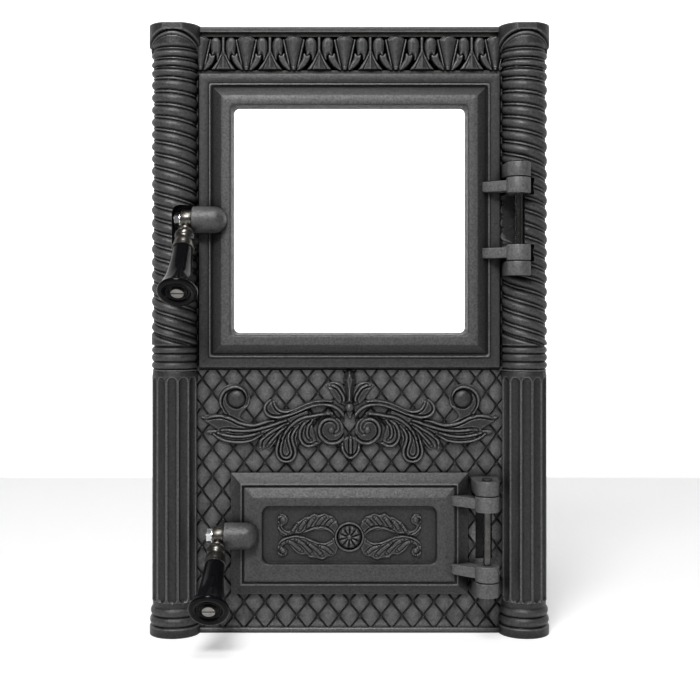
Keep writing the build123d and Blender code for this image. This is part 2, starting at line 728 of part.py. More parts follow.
def door_rope(door):
    """Seal of braided rope, seated in its groove and standing a little proud."""
    ring = seal_ring(door)
    depth = ROPE_GROOVE_DEPTH + ROPE_STAND
    return extrude(front(DOOR_GAP + ROPE_GROOVE_DEPTH) * ring, amount=-depth)


# Handles

def boss_left(door):
    """Left end of the latch boss."""
    return -DOORS[door][0] / 2 - BOSS_OVERHANG


def handle_boss(door):
    """Crosswise latch boss with a domed end, standing on the door's left edge."""
    w, h, z, pin_x, span, lean = DOORS[door]
    left = boss_left(door)
    right = left + BOSS_LEN - BOSS_R
    shape = crosswise(BOSS_R, (left, right), BOSS_RISE, z) + Pos(right, -BOSS_RISE, z) * Sphere(BOSS_R)
    shape -= block((left - 1, right + 2 * BOSS_R), (DOOR_BACK, 30), (z - 20, z + 20))
    return shape - block((left - 1, -w / 2), (-SIDE_BEAD_RISE - DOOR_GAP, 0), (z - 20, z + 20))


def swing(door, shape):
    """Place a handle piece drawn about Z, with its far end at +Z, in its leaning rest."""
    w, h, z, pin_x, span, lean = DOORS[door]
    x = boss_left(door) - EYE_GAP - EYE_W / 2
    return Pos(x, -BOSS_RISE, z) * Rot(180 - lean, 0, 0) * shape


def lever():
    """Forged lever: eye, waisted neck with collars, tang through the grip."""
    c1, c2 = COLLAR_1, COLLAR_2
    points = [(0, 0), (NECK_R, 0), (NECK_R - 0.6, c1[0]), (c1[2], c1[0] + 0.5)]
    points += [(c1[2], c1[1]), (c2[2], c2[0]), (c2[2] + 1.2, c2[1]), (c2[2] + 1.2, FERRULE_START)]
    points += [(TANG_R, FERRULE_START), (TANG_R, GRIP_END - GRIP_RECESS_DEPTH - 4), (0, GRIP_END - GRIP_RECESS_DEPTH - 4)]
    return turned(points)


def handle_lever(door):
    """Lever with its cross-bored eye and the latch nose behind it."""
    w, h, z, pin_x, span, lean = DOORS[door]
    left = boss_left(door)
    mid = left - EYE_GAP - EYE_W / 2
    shape = swing(door, lever())
    shape += crosswise(EYE_R, (mid - EYE_W / 2, mid + EYE_W / 2), BOSS_RISE, z)
    nose = crosswise(NOSE_R, (mid - NOSE_T / 2, mid + NOSE_T / 2), BOSS_RISE, z)
    shape += nose & block((left - 2 * EYE_W, left), (-BOSS_RISE, 0),
                          (z - NOSE_HALF_H, z + NOSE_HALF_H))
    return shape - crosswise(STUD_R + PIN_CLEARANCE, (left - 20, left), BOSS_RISE, z)


def handle_ferrule(door):
    ring = Cylinder(FERRULE_R, FERRULE_T, align=(Align.CENTER, Align.CENTER, Align.MIN))
    ring -= Cylinder(TANG_R + TANG_CLEARANCE, 3 * FERRULE_T)
    return swing(door, Pos(0, 0, FERRULE_START) * ring)


def handle_grip(door):
    """Round grip that swells to a flared end with a sunk face."""
    swell = GRIP_R + (GRIP_END_R - GRIP_R) * GRIP_WAIST
    side = Spline(
        (GRIP_R, 0, GRIP_START), (swell, 0, GRIP_START + GRIP_LEN * 0.72),
        (GRIP_END_R, 0, GRIP_END - 2.5),
    )
    rest = Polyline(
        (GRIP_END_R, 0, GRIP_END - 2.5), (GRIP_END_R, 0, GRIP_END - 0.8),
        (GRIP_END_R - 1.2, 0, GRIP_END), (GRIP_RECESS_R, 0, GRIP_END),
        (GRIP_RECESS_R, 0, GRIP_END - GRIP_RECESS_DEPTH),
        (TANG_R + TANG_CLEARANCE, 0, GRIP_END - GRIP_RECESS_DEPTH),
        (TANG_R + TANG_CLEARANCE, 0, GRIP_START), (GRIP_R, 0, GRIP_START),
    )
    return swing(door, revolve(make_face([side, rest]), Axis.Z))


def handle_end_screw(door):
    """Slotted screw that closes the grip's sunk face."""
    seat = GRIP_END - GRIP_RECESS_DEPTH
    screw = Pos(0, 0, seat) * Cylinder(END_SCREW_R, END_SCREW_H,
                                       align=(Align.CENTER, Align.CENTER, Align.MIN))
    screw += Pos(0, 0, seat) * Cylinder(TANG_R, 4.0, align=(Align.CENTER, Align.CENTER, Align.MAX))
    slot = Pos(0, 0, seat + END_SCREW_H) * Box(2 * END_SCREW_R + 1, 1.2, 2.0)
    return swing(door, screw - slot)


def handle_stud(door):
    w, h, z, pin_x, span, lean = DOORS[door]
    left = boss_left(door)
    end = left - 2 * EYE_GAP - EYE_W - WASHER_T - NUT_T - 0.6
    return crosswise(STUD_R, (end, left + STUD_DEPTH), BOSS_RISE, z)


def nut_face(door):
    """Place along X of the washer's outer face, where the nut bears."""
    return boss_left(door) - 2 * EYE_GAP - EYE_W - WASHER_T


def handle_washer(door):
    w, h, z, pin_x, span, lean = DOORS[door]
    face = nut_face(door)
    span_x = (face, face + WASHER_T)
    return crosswise(WASHER_R, span_x, BOSS_RISE, z) - crosswise(STUD_R, (face - 1, face + 2), BOSS_RISE, z)


def handle_nut(door):
    w, h, z, pin_x, span, lean = DOORS[door]
    face = nut_face(door)
    nut = extrude(RegularPolygon(NUT_ACROSS / 2, 6, major_radius=False), amount=NUT_T)
    nut = Pos(face, -BOSS_RISE, z) * Rot(0, -90, 0) * nut
    return nut - crosswise(STUD_R, (face - 2 * NUT_T, face + 1), BOSS_RISE, z)


def handle_room():
    """Notch that the fire door's handle needs in the column beside it."""
    w, h, z, pin_x, span, lean = DOORS["upper"]
    left = nut_face("upper") - NUT_T - HANDLE_NOTCH_SIDE
    return block((left, -FIELD_X), (-60, -NOTCH_FLOOR_RISE),
                 (z - HANDLE_NOTCH_DOWN, z + BOSS_R + HANDLE_NOTCH_UP))


# Frame casting

def mouth(door, spare=0.0):
    """Opening behind a door, kept inside its rope seal."""
    w, h, z, pin_x, span, lean = DOORS[door]
    inset = MOUTH_INSET - spare
    return Pos(0, z) * Rectangle(w - 2 * inset, h - 2 * inset)


def rear_collars():
    """Walls around both openings and bosses for studs, on the plate's back."""
    shape = Part()
    for door in DOORS:
        ring = mouth(door, COLLAR_WALL) - mouth(door)
        shape += extrude(front(-PLATE_T / 2) * ring, amount=PLATE_T / 2 - COLLAR_DEPTH)
    boss = Rectangle(ANCHOR_BOSS_W, ANCHOR_BOSS_W)
    hole = Circle(ANCHOR_HOLE_R)
    for x in (-ANCHOR_X, ANCHOR_X):
        for z in (ANCHOR_LOW, ANCHOR_HIGH):
            shape += extrude(front(-PLATE_T / 2) * Pos(x, z) * boss,
                             amount=PLATE_T / 2 - ANCHOR_BOSS_DEPTH)
            shape -= extrude(front(-ANCHOR_BOSS_DEPTH) * Pos(x, z) * hole,
                             amount=ANCHOR_HOLE_DEPTH)
    return shape


def front_frame():
    """The stove front in one casting."""
    plate = block((-COLUMN_X, COLUMN_X), (0, PLATE_T), (0, HEIGHT))
    plate -= lattice_grooves()
    shape = plate + plate_ornament()
    for side in (-1, 1):
        shape += Pos(side * COLUMN_X, 0, 0) * column()
        shape -= Pos(side * COLUMN_X, 0, 0) * column_hollow()
    shape += rear_collars()
    for door in DOORS:
        shape -= extrude(front(20) * mouth(door), amount=-60)
        shape -= hinge_room(door) + hinge_pocket(door)
    shape -= handle_room()
    for door in DOORS:
        shape += frame_lugs(door)
        shape -= pin_bore(door, PIN_R)
    return shape


def nodes():
    """Every piece by name; a list holds alike pieces that share a node."""
    pieces = {
        "front_frame": front_frame(),
        "upper_door": upper_casting(),
        "lower_door": lower_casting(),
        "glass_pane": glass_pane(),
        "glass_gasket": glass_gasket(),
        "glass_clips": Compound(children=glass_clips()),
        "glass_clip_screws": Compound(children=glass_clip_screws()),
    }
    for door in DOORS:
        pieces[door + "_door_rope"] = door_rope(door)
        pieces[door + "_hinge_pin"] = hinge_pin(door)
        pieces[door + "_handle_lever"] = handle_lever(door)
        pieces[door + "_handle_ferrule"] = handle_ferrule(door)
        pieces[door + "_handle_grip"] = handle_grip(door)
        pieces[door + "_handle_end_screw"] = handle_end_screw(door)
        pieces[door + "_handle_stud"] = handle_stud(door)
        pieces[door + "_handle_washer"] = handle_washer(door)
        pieces[door + "_handle_nut"] = handle_nut(door)
    return pieces


os.makedirs("parts", exist_ok=True)
for name, piece in nodes().items():
    export_step(piece, "parts/" + name + ".step")
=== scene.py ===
import math

import bmesh
import bpy
import numpy as np
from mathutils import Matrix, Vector


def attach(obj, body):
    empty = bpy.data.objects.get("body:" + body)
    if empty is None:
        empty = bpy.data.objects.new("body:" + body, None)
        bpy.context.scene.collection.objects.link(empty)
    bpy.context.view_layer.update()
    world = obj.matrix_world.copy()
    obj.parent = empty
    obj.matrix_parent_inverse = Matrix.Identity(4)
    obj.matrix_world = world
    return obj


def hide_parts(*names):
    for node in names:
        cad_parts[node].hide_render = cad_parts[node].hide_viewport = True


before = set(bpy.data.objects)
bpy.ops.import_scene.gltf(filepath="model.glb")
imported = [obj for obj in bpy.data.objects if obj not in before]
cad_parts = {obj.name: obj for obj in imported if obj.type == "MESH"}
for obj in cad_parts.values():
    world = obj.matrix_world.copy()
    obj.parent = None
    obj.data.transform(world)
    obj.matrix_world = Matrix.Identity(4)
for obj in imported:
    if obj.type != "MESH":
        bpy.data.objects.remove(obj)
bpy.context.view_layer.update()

# Cast stove front, dressed. Pieces are drawn in millimetres in the row frame:
# +Z up, front along -Y, Y = 0 on the plate's face. "Rise" is a height in front of it.

MM = 0.001

COLUMN_X = 152.6
COLUMN_R = 22.4
HOLLOWS = ((14.0, 298.3), (422.3, 516.0))   # levels at which a column is open behind
HOLLOW_R = 13.0
CORE_R = 0.12
FIELD_X = 132.1
FIELD_Z = (3.0, 230.6)                      # levels between which the plate is cut back
HEIGHT = 530.0
PLATE_T = 6.0
GROUND = 1.6                                # how far the plate lies back under the lattice
POCKET_X = (110.55, 125.05)                 # pocket behind the ash door's knuckles
POCKET_Z = (64.4, 109.6)

DOORS = {
    "upper": {"w": 262.0, "h": 256.0, "z": 360.3, "pin": 144.7, "span": 97.0, "lean": 41.0,
              "left": -135.4},
    "lower": {"w": 207.0, "h": 106.0, "z": 87.0, "pin": 117.8, "span": 99.0, "lean": 57.0,
              "left": -107.9},
}
BODIES = {"upper": "fire_door", "lower": "ash_door"}
PIN_RISE = 25.0
KNUCKLE_R = 10.4
LUG_H = 12.4
HINGE_GAP = 0.7
KNUCKLE_H = 13.4
ARM_H = 9.0
BOSS_RISE = 14.6
NOSE_R = 9.8
EYE_HALF = 4.8
BOSS_GAP = 0.3
MOUTH_INSET = 13.0
COLLAR_T = 5.0
ANCHORS = [(x, z) for x in (-110.0, 110.0) for z in (20.0, 500.0)]

# The sheet that the ornament was drawn on: units to a millimetre, middle and foot
DRAWN_X = 1.1066
DRAWN_Z = 1.1528
DRAWN_MID = 349.5
DRAWN_FOOT = 635.0


# Materials

def nodes_of(name):
    mat = bpy.data.materials.new(name)
    mat.use_nodes = True
    tree = mat.node_tree
    return mat, tree, tree.nodes["Principled BSDF"]


def object_space(tree):
    return tree.nodes.new("ShaderNodeTexCoord").outputs["Object"]


def noise(tree, coords, scale, detail=4.0, rough=0.6):
    node = tree.nodes.new("ShaderNodeTexNoise")
    node.inputs["Scale"].default_value = scale
    node.inputs["Detail"].default_value = detail
    node.inputs["Roughness"].default_value = rough
    tree.links.new(coords, node.inputs["Vector"])
    return node.outputs["Fac"]


def ramp(tree, value, stops):
    node = tree.nodes.new("ShaderNodeValToRGB")
    while len(node.color_ramp.elements) < len(stops):
        node.color_ramp.elements.new(0.5)
    for element, (place, shade) in zip(node.color_ramp.elements, stops):
        element.position = place
        if isinstance(shade, (int, float)):
            shade = (shade, shade, shade)
        element.color = (*shade, 1.0)
    tree.links.new(value, node.inputs["Fac"])
    return node.outputs["Color"]


def mixed(tree, kind, factor, a, b):
    node = tree.nodes.new("ShaderNodeMix")
    node.data_type = "RGBA"
    node.blend_type = kind
    for value, socket in ((factor, node.inputs[0]), (a, node.inputs[6]), (b, node.inputs[7])):
        if isinstance(value, (int, float)):
            socket.default_value = value
        elif isinstance(value, tuple):
            socket.default_value = (*value, 1.0)
        else:
            tree.links.new(value, socket)
    return node.outputs[2]


def bump(tree, heights, shader):
    """Chain of bumps: each height is (value, strength, distance in metres)."""
    normal = None
    for value, strength, distance in heights:
        node = tree.nodes.new("ShaderNodeBump")
        node.inputs["Strength"].default_value = strength
        node.inputs["Distance"].default_value = distance
        tree.links.new(value, node.inputs["Height"])
        if normal:
            tree.links.new(normal, node.inputs["Normal"])
        normal = node.outputs["Normal"]
    tree.links.new(normal, shader.inputs["Normal"])


def cast_iron(name, dark, pale, rough, grain, face=0.0):
    """Blacked cast iron: sandy skin, uneven sheen, edges worn paler with a painted highlight on
    the crests, and painted shade in creases and recesses.
    """
    mat, tree, shader = nodes_of(name)
    place = object_space(tree)
    skin = noise(tree, place, 1500.0, 6.0, 0.7)
    patch = noise(tree, place, 45.0, 5.0, 0.6)
    blotch = noise(tree, place, 260.0, 4.0, 0.65)
    edge = tree.nodes.new("ShaderNodeNewGeometry").outputs["Pointiness"]
    # Sharp crests and edges turn pale: partly wear, partly a painted highlight.
    rubbed_and_highlit = ramp(tree, edge, [(0.50, 0.0), (0.565, 1.0)])
    # Painted shade: concave creases are darkened.
    painted_crevice_shade = ramp(tree, edge, [(0.42, 0.45), (0.50, 1.0)])
    colour = mixed(tree, "MIX", patch, tuple(0.86 * c for c in dark), dark)
    if face:
        colour = mixed(tree, "MIX", proud_faces(tree, place, face), colour, pale)
    colour = mixed(tree, "MIX", rubbed_and_highlit, colour, pale)
    colour = mixed(tree, "MULTIPLY", 1.0, colour, painted_crevice_shade)
    # Painted shade: ambient occlusion darkens the colour in recesses and beside raised parts.
    shade = tree.nodes.new("ShaderNodeAmbientOcclusion")
    shade.samples = 6
    shade.inputs["Distance"].default_value = 0.011
    colour = mixed(tree, "MULTIPLY", 1.0, colour,
                   ramp(tree, shade.outputs["AO"], [(0.30, 0.08), (0.92, 1.0)]))
    speck = noise(tree, place, 520.0, 3.0, 0.65)
    sand = ramp(tree, speck, [(0.32, 0.62), (0.68, 1.40)])
    colour = mixed(tree, "MULTIPLY", 0.9, colour, sand)
    tree.links.new(colour, shader.inputs["Base Color"])
    sheen = ramp(tree, blotch, [(0.30, rough + 0.09), (0.70, rough - 0.05)])
    tree.links.new(sheen, shader.inputs["Roughness"])
    shader.inputs["Metallic"].default_value = 0.25
    shader.inputs["Specular IOR Level"].default_value = 0.5
    bump(tree, [(skin, 0.6 * grain, 0.00030), (speck, 0.5 * grain, 0.0004),
                (blotch, 0.45 * grain, 0.0006), (patch, 0.3, 0.0012)], shader)
    return mat


def proud_faces(tree, place, most):
    """Up to most on the doors' outermost flats, which turn paler, and 0 further back."""
    split = tree.nodes.new("ShaderNodeSeparateXYZ")
    tree.links.new(place, split.inputs[0])
    lift = tree.nodes.new("ShaderNodeMapRange")
    lift.inputs["From Min"].default_value = -0.0122
    lift.inputs["From Max"].default_value = -0.0130
    lift.inputs["To Max"].default_value = most
    tree.links.new(split.outputs["Y"], lift.inputs["Value"])
    return lift.outputs["Result"]


def metal(name, colour, rough, scratch, wear):
    """Plated or forged steel with drawn marks and dull patches."""
    mat, tree, shader = nodes_of(name)
    place = object_space(tree)
    fine = noise(tree, place, 2200.0, 3.0, 0.6)
    patch = noise(tree, place, 160.0, 4.0, 0.6)
    tint = mixed(tree, "MIX", ramp(tree, patch, [(0.35, 0.0), (0.72, 1.0)]), colour,
                 tuple(c * wear for c in colour))
    tree.links.new(tint, shader.inputs["Base Color"])
    tree.links.new(ramp(tree, patch, [(0.3, rough), (0.75, rough + 0.16)]),
                   shader.inputs["Roughness"])
    shader.inputs["Metallic"].default_value = 1.0
    bump(tree, [(fine, scratch, 0.00008), (patch, 0.2, 0.0003)], shader)
    return mat


def moulded(name, colour, rough):
    """Hard glossy moulding with faint waves and hairline dulling."""
    mat, tree, shader = nodes_of(name)
    place = object_space(tree)
    wave = noise(tree, place, 60.0, 2.0, 0.5)
    dust = noise(tree, place, 900.0, 5.0, 0.7)
    tint = mixed(tree, "MIX", ramp(tree, dust, [(0.55, 0.0), (0.8, 0.35)]), colour,
                 tuple(c + 0.02 for c in colour))
    tree.links.new(tint, shader.inputs["Base Color"])
    tree.links.new(ramp(tree, dust, [(0.4, rough), (0.8, rough + 0.08)]),
                   shader.inputs["Roughness"])
    shader.inputs["IOR"].default_value = 1.22
    bump(tree, [(wave, 0.06, 0.0006)], shader)
    return mat


def clear_glass(name):
    mat, tree, shader = nodes_of(name)
    place = object_space(tree)
    wave = noise(tree, place, 9.0, 2.0, 0.5)
    haze = noise(tree, place, 30.0, 4.0, 0.6)
    tree.links.new(ramp(tree, haze, [(0.3, 0.0), (0.8, 0.03)]), shader.inputs["Roughness"])
    tint = mixed(tree, "MIX", haze, (0.985, 0.99, 0.985), (0.97, 0.98, 0.975))
    tree.links.new(tint, shader.inputs["Base Color"])
    shader.inputs["Transmission Weight"].default_value = 1.0
    shader.inputs["IOR"].default_value = 1.15
    bump(tree, [(wave, 0.04, 0.0004)], shader)
    return mat


def braided(name, colour):
    """Knitted rope: crossed strands over a fuzzy ground."""
    mat, tree, shader = nodes_of(name)
    place = object_space(tree)
    strands = []
    for turn in (45.0, -45.0):
        spin = tree.nodes.new("ShaderNodeMapping")
        spin.inputs["Rotation"].default_value = (0.0, math.radians(turn), 0.0)
        tree.links.new(place, spin.inputs["Vector"])
        wave = tree.nodes.new("ShaderNodeTexWave")
        wave.inputs["Scale"].default_value = 130.0
        wave.inputs["Distortion"].default_value = 1.5
        tree.links.new(spin.outputs["Vector"], wave.inputs["Vector"])
        strands.append(wave.outputs["Color"])
    weave = mixed(tree, "MULTIPLY", 1.0, strands[0], strands[1])
    fuzz = noise(tree, place, 1400.0, 6.0, 0.75)
    shade = ramp(tree, weave, [(0.0, tuple(c * 0.35 for c in colour)), (0.6, colour)])
    tree.links.new(mixed(tree, "MULTIPLY", 0.5, shade, ramp(tree, fuzz, [(0.3, 0.7), (0.7, 1.1)])),
                   shader.inputs["Base Color"])
    shader.inputs["Roughness"].default_value = 0.95
    bump(tree, [(weave, 0.8, 0.0006), (fuzz, 0.5, 0.0002)], shader)
    return mat


IRON = cast_iron("blacked_iron", (0.036, 0.036, 0.037), (0.21, 0.21, 0.212), 0.36, 1.0)
# Paler iron for door beads and hinge arms: partly wear, partly a painted highlight on their
# rounded edges.
RUBBED_HIGHLIT_IRON = cast_iron("rubbed_highlit_iron", (0.085, 0.085, 0.087), (0.22, 0.22, 0.222), 0.40, 1.2)
DOOR_IRON = cast_iron("blacked_iron_door", (0.015, 0.015, 0.015), (0.105, 0.105, 0.107), 0.43,
                      1.0, 0.75)
# Paler dark tone: painted light that lifts the ash door's sunk panel out of the shadow of its rim.
ASH_DOOR_IRON = cast_iron("blacked_iron_ash_door", (0.052, 0.052, 0.052), (0.13, 0.13, 0.132),
                          0.42, 1.0, 0.03)
BACK_IRON = cast_iron("rough_iron", (0.040, 0.039, 0.038), (0.11, 0.105, 0.10), 0.58, 1.6)
LEVER = metal("nickelled_steel", (0.17, 0.16, 0.145), 0.24, 0.2, 0.6)
SCREW = metal("grip_screw", (0.36, 0.35, 0.33), 0.30, 0.3, 0.6)
ZINC = metal("bright_zinc", (0.86, 0.87, 0.88), 0.16, 0.2, 0.85)
PIN = metal("bare_steel", (0.13, 0.128, 0.124), 0.20, 0.3, 0.7)
CLIP = metal("spring_steel", (0.36, 0.36, 0.37), 0.38, 0.4, 0.75)
GRIP = moulded("black_grip", (0.004, 0.004, 0.005), 0.09)
GLASS = clear_glass("fire_glass")
ROPE = braided("glass_fibre_rope", (0.30, 0.29, 0.27))


# Mesh tools

def linked(name, data):
    obj = bpy.data.objects.new(name, data)
    bpy.context.scene.collection.objects.link(obj)
    return obj


def bare(name, points, faces):
    """An object from millimetre points, with no material, body or slot."""
    mesh = bpy.data.meshes.new(name)
    mesh.from_pydata((np.asarray(points, float) * MM).tolist(), [], faces)
    return linked(name, mesh)


def dressed(obj, material, body, angle):
    obj.data.materials.append(material)
    shade_smooth(obj.data, angle)
    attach(obj, body)
    return obj


def shade_smooth(mesh, angle):
    mesh.polygons.foreach_set("use_smooth", [True] * len(mesh.polygons))
    mesh.set_sharp_from_angle(angle=math.radians(angle))


def piece(name, points, faces, material, body, slot, angle=38.0):
    """A shown piece from millimetre points, its faces turned outward."""
    obj = bare(name, points, faces)
    obj.data.validate()
    outward(obj.data)
    return dressed(obj, material, body, angle)


def frame_part(name, shape, material, angle=38.0):
    """A piece of the fixed casting."""
    obj = piece(name, *shape, material, "frame", "cast_iron", angle)
    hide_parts("front_frame")
    return obj


def door_part(door, name, shape, material, angle=38.0):
    """A piece of a door's casting."""
    obj = piece(BODIES[door] + name, *shape, material, BODIES[door], "cast_iron", angle)
    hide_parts(door + "_door")
    return obj


def handle_part(door, name, shape, material, slot, angle=30.0):
    body = BODIES[door] + "_handle"
    obj = piece(body + name, *shape, material, body, slot, angle)
    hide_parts(door + "_handle" + name)


def outward(mesh):
    bm = bmesh.new()
    bm.from_mesh(mesh)
    bmesh.ops.recalc_face_normals(bm, faces=bm.faces)
    bm.to_mesh(mesh)
    bm.free()


def cut(obj, shapes, angle=38.0):
    """Cuts closed shapes, given as (points, faces), out of a piece."""
    for points, faces in shapes:
        tool = bare("cutter", points, faces)
        outward(tool.data)
        step = obj.modifiers.new("cut", "BOOLEAN")
        step.operation = "DIFFERENCE"
        step.solver = "EXACT"
        step.object = tool
        settle(obj)
        bpy.data.objects.remove(tool)
    obj.data.set_sharp_from_angle(angle=math.radians(angle))


def settle(obj):
    """Applies a piece's modifiers to its own mesh."""
    graph = bpy.context.evaluated_depsgraph_get()
    graph.update()
    mesh = bpy.data.meshes.new_from_object(obj.evaluated_get(graph))
    obj.modifiers.clear()
    old = obj.data
    obj.data = mesh
    bpy.data.meshes.remove(old)


def soften(obj, width, segments=2, angle=32.0):
    """Rounds a piece's edges."""
    step = obj.modifiers.new("soften", "BEVEL")
    step.width = width * MM
    step.segments = segments
    step.limit_method = "ANGLE"
    step.angle_limit = math.radians(angle)
    step.use_clamp_overlap = True
    settle(obj)
    shade_smooth(obj.data, 50.0)


def joined(shapes):
    """One list of points and faces from several."""
    points, faces = [], []
    for some, quads in shapes:
        start = len(points)
        points += [tuple(p) for p in some]
        faces += [tuple(start + i for i in face) for face in quads]
    return points, faces


def block(x, y, z):
    points = [(i, j, k) for i in x for j in y for k in z]
    faces = [(0, 1, 3, 2), (4, 6, 7, 5), (0, 4, 5, 1), (2, 3, 7, 6), (0, 2, 6, 4), (1, 5, 7, 3)]
    return points, faces


def hull(points):
    """Convex outline round points in a plane, anticlockwise."""
    points = sorted(set((round(x, 6), round(y, 6)) for x, y in points))
    sides = []
    for run in (points, points[::-1]):
        side = []
        for p in run:
            while len(side) > 1 and turn(side[-2], side[-1], p) <= 0:
                side.pop()
            side.append(p)
        sides += side[:-1]
    return sides


def turn(a, b, c):
    return (b[0] - a[0]) * (c[1] - a[1]) - (b[1] - a[1]) * (c[0] - a[0])


def arc(x, y, across, up, angles):
    """Points of an ellipse, at angles in degrees."""
    return [(x + across * math.cos(math.radians(a)), y + up * math.sin(math.radians(a)))
            for a in angles]


def circle(x, y, radius, steps=40):
    return [(x + radius * math.cos(2 * math.pi * i / steps),
             y + radius * math.sin(2 * math.pi * i / steps)) for i in range(steps)]


def prism(outline, low, high):
    """Outline in X and Y, raised from low to high along Z."""
    n = len(outline)
    points = [(x, y, z) for z in (low, high) for x, y in outline]
    faces = [tuple(range(n))[::-1], tuple(range(n, 2 * n))]
    faces += [(i, (i + 1) % n, n + (i + 1) % n, n + i) for i in range(n)]
    return points, faces


def lathe(profile, steps=72):
    """Closed solid turned about Z from (radius, height) points that start and end on the axis."""
    inner = profile[1:-1]
    points = [(0.0, 0.0, profile[0][1])]
    for r, z in inner:
        points += [(x, y, z) for x, y in circle(0, 0, r, steps)]
    points.append((0.0, 0.0, profile[-1][1]))
    faces = []
    last = len(inner) - 1
    for i in range(steps):
        j = (i + 1) % steps
        faces.append((0, 1 + j, 1 + i))
        for k in range(last):
            a = 1 + k * steps
            faces.append((a + i, a + j, a + steps + j, a + steps + i))
        top = 1 + last * steps
        faces.append((top + i, top + j, len(points) - 1))
    return points, faces


def along_x(shape):
    points, faces = shape
    return [(z, x, y) for x, y, z in points], faces


def moved(shape, x=0.0, y=0.0, z=0.0):
    points, faces = shape
    return [(px + x, py + y, pz + z) for px, py, pz in points], faces


def leaning(shape, lean):
    """Turns a piece drawn about +Z so that it hangs forward by an angle."""
    points, faces = shape
    c, s = math.cos(math.radians(180 - lean)), math.sin(math.radians(180 - lean))
    return [(x, y * c - z * s, y * s + z * c) for x, y, z in points], faces


def smooth_line(points, steps=6, closed=False):
    """Curve through points."""
    p = np.asarray(points, float)
    n = len(p)
    out = []
    for i in range(n if closed else n - 1):
        if closed:
            a, b, c, d = p[(i - 1) % n], p[i], p[(i + 1) % n], p[(i + 2) % n]
        else:
            a, b, c, d = p[max(i - 1, 0)], p[i], p[i + 1], p[min(i + 2, n - 1)]
        for k in range(steps):
            t = k / steps
            out.append(0.5 * (2 * b + (c - a) * t + (2 * a - 5 * b + 4 * c - d) * t * t
                              + (3 * b - a - 3 * c + d) * t ** 3))
    if not closed:
        out.append(p[-1])
    return np.array(out)


def sheet_over(name, x, z, height, shown):
    """A sheet over a grid of points; height is each one's rise, shown marks the cells kept."""
    points = np.stack([x, -height, z], axis=-1).reshape(-1, 3)
    index = np.arange(height.size).reshape(height.shape)
    quads = np.stack([index[:-1, :-1], index[:-1, 1:], index[1:, 1:], index[1:, :-1]], axis=-1)
    used, packed = np.unique(quads[shown], return_inverse=True)
    return bare(name, points[used], packed.reshape(-1, 4).tolist())


def relief_piece(name, relief, shown, body, node, angle=75.0, side=1, base=0.0):
    """Carving as a sheet, mirrored where side is -1, on a base at some rise."""
    x, z = np.meshgrid(relief.x[::side] * side, relief.z)
    obj = sheet_over(name, x, z, relief.h[:, ::side] + base, shown[:, ::side])
    dressed(obj, IRON, body, angle)
    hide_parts(node)
    return obj


def add_skirt(obj, rise):
    """Turns a sheet's border back to a depth, so that no edge hangs open."""
    bm = bmesh.new()
    bm.from_mesh(obj.data)
    border = [e for e in bm.edges if e.is_boundary]
    made = bmesh.ops.extrude_edge_only(bm, edges=border)["geom"]
    for v in made:
        if isinstance(v, bmesh.types.BMVert):
            v.co.y = -rise * MM
    bm.to_mesh(obj.data)
    bm.free()


# Relief carving

def unit(value):
    return np.clip(value, 0, 1)


def half_circle(share):
    """Section of a bead: 1 on its middle line, 0 from its edge outward."""
    return np.sqrt(unit(1 - share ** 2))


def shoulder(share):
    """Rounded edge: 0 on the outline, 1 from a whole share inward."""
    return np.sqrt(1 - (1 - unit(share)) ** 2)


class Relief:
    """Heights of carving over a rectangle of the plate, in millimetres."""

    def __init__(self, x, z, step, ground):
        self.x = np.linspace(*x, int(round((x[1] - x[0]) / step)) + 1)
        self.z = np.linspace(*z, int(round((z[1] - z[0]) / step)) + 1)
        self.gx, self.gz = np.meshgrid(self.x, self.z)
        self.h = np.full(self.gx.shape, float(ground))

    def near(self, line):
        """Distance from every point to a line, and how far along it the nearest place is."""
        best = np.full(self.gx.shape, 1e9)
        share = np.zeros(self.gx.shape)
        lengths = np.hypot(*(line[1:] - line[:-1]).T)
        total = lengths.sum()
        walked = 0.0
        for a, b, length in zip(line[:-1], line[1:], lengths):
            if length == 0:
                continue
            dx, dz = (b - a) / length
            t = np.clip((self.gx - a[0]) * dx + (self.gz - a[1]) * dz, 0, length)
            d = np.hypot(self.gx - a[0] - t * dx, self.gz - a[1] - t * dz)
            closer = d < best
            best[closer] = d[closer]
            share[closer] = ((walked + t) / total)[closer]
            walked += length
        return best, share

    def inside(self, outline):
        return polygon_depth(self.gx, self.gz, np.asarray(outline, float))

    def body(self, outline, rise, edge, foot=-1.9):
        """Raised form with a rounded shoulder that drops to the foot outside."""
        d = self.inside(smooth_line(outline, 5, True))
        top = rise * (0.35 + 0.65 * shoulder(d / edge))
        fall = foot + (rise * 0.35 - foot) * unit(1 + d / 0.7)
        self.h = np.maximum(self.h, np.where(d >= 0, top, fall))

    def ridge(self, line, half, rise, least=-10.0):
        """Bead along a line, added where the ground isn't under least; its ends taper."""
        d, s = self.near(smooth_line(line, 5))
        thin = np.clip(np.minimum(s, 1 - s) / 0.12, 0.35, 1)
        bead = rise * thin * half_circle(d / (half * (0.5 + 0.5 * thin)))
        self.h += np.where(self.h < least, 0.0, bead)

    def groove(self, line, half, depth, least):
        d, _ = self.near(smooth_line(line, 5))
        self.h -= np.where(self.h < least, 0.0, depth * half_circle(d / half))

    def dome(self, x, z, radius, foot, rise):
        d = np.hypot(self.gx - x, self.gz - z) / radius
        cap = foot + rise * half_circle(d)
        self.h = np.where(d < 1, np.maximum(self.h, cap), self.h)

    def shown(self, above):
        high = self.h > above
        return high[:-1, :-1] | high[1:, :-1] | high[:-1, 1:] | high[1:, 1:]


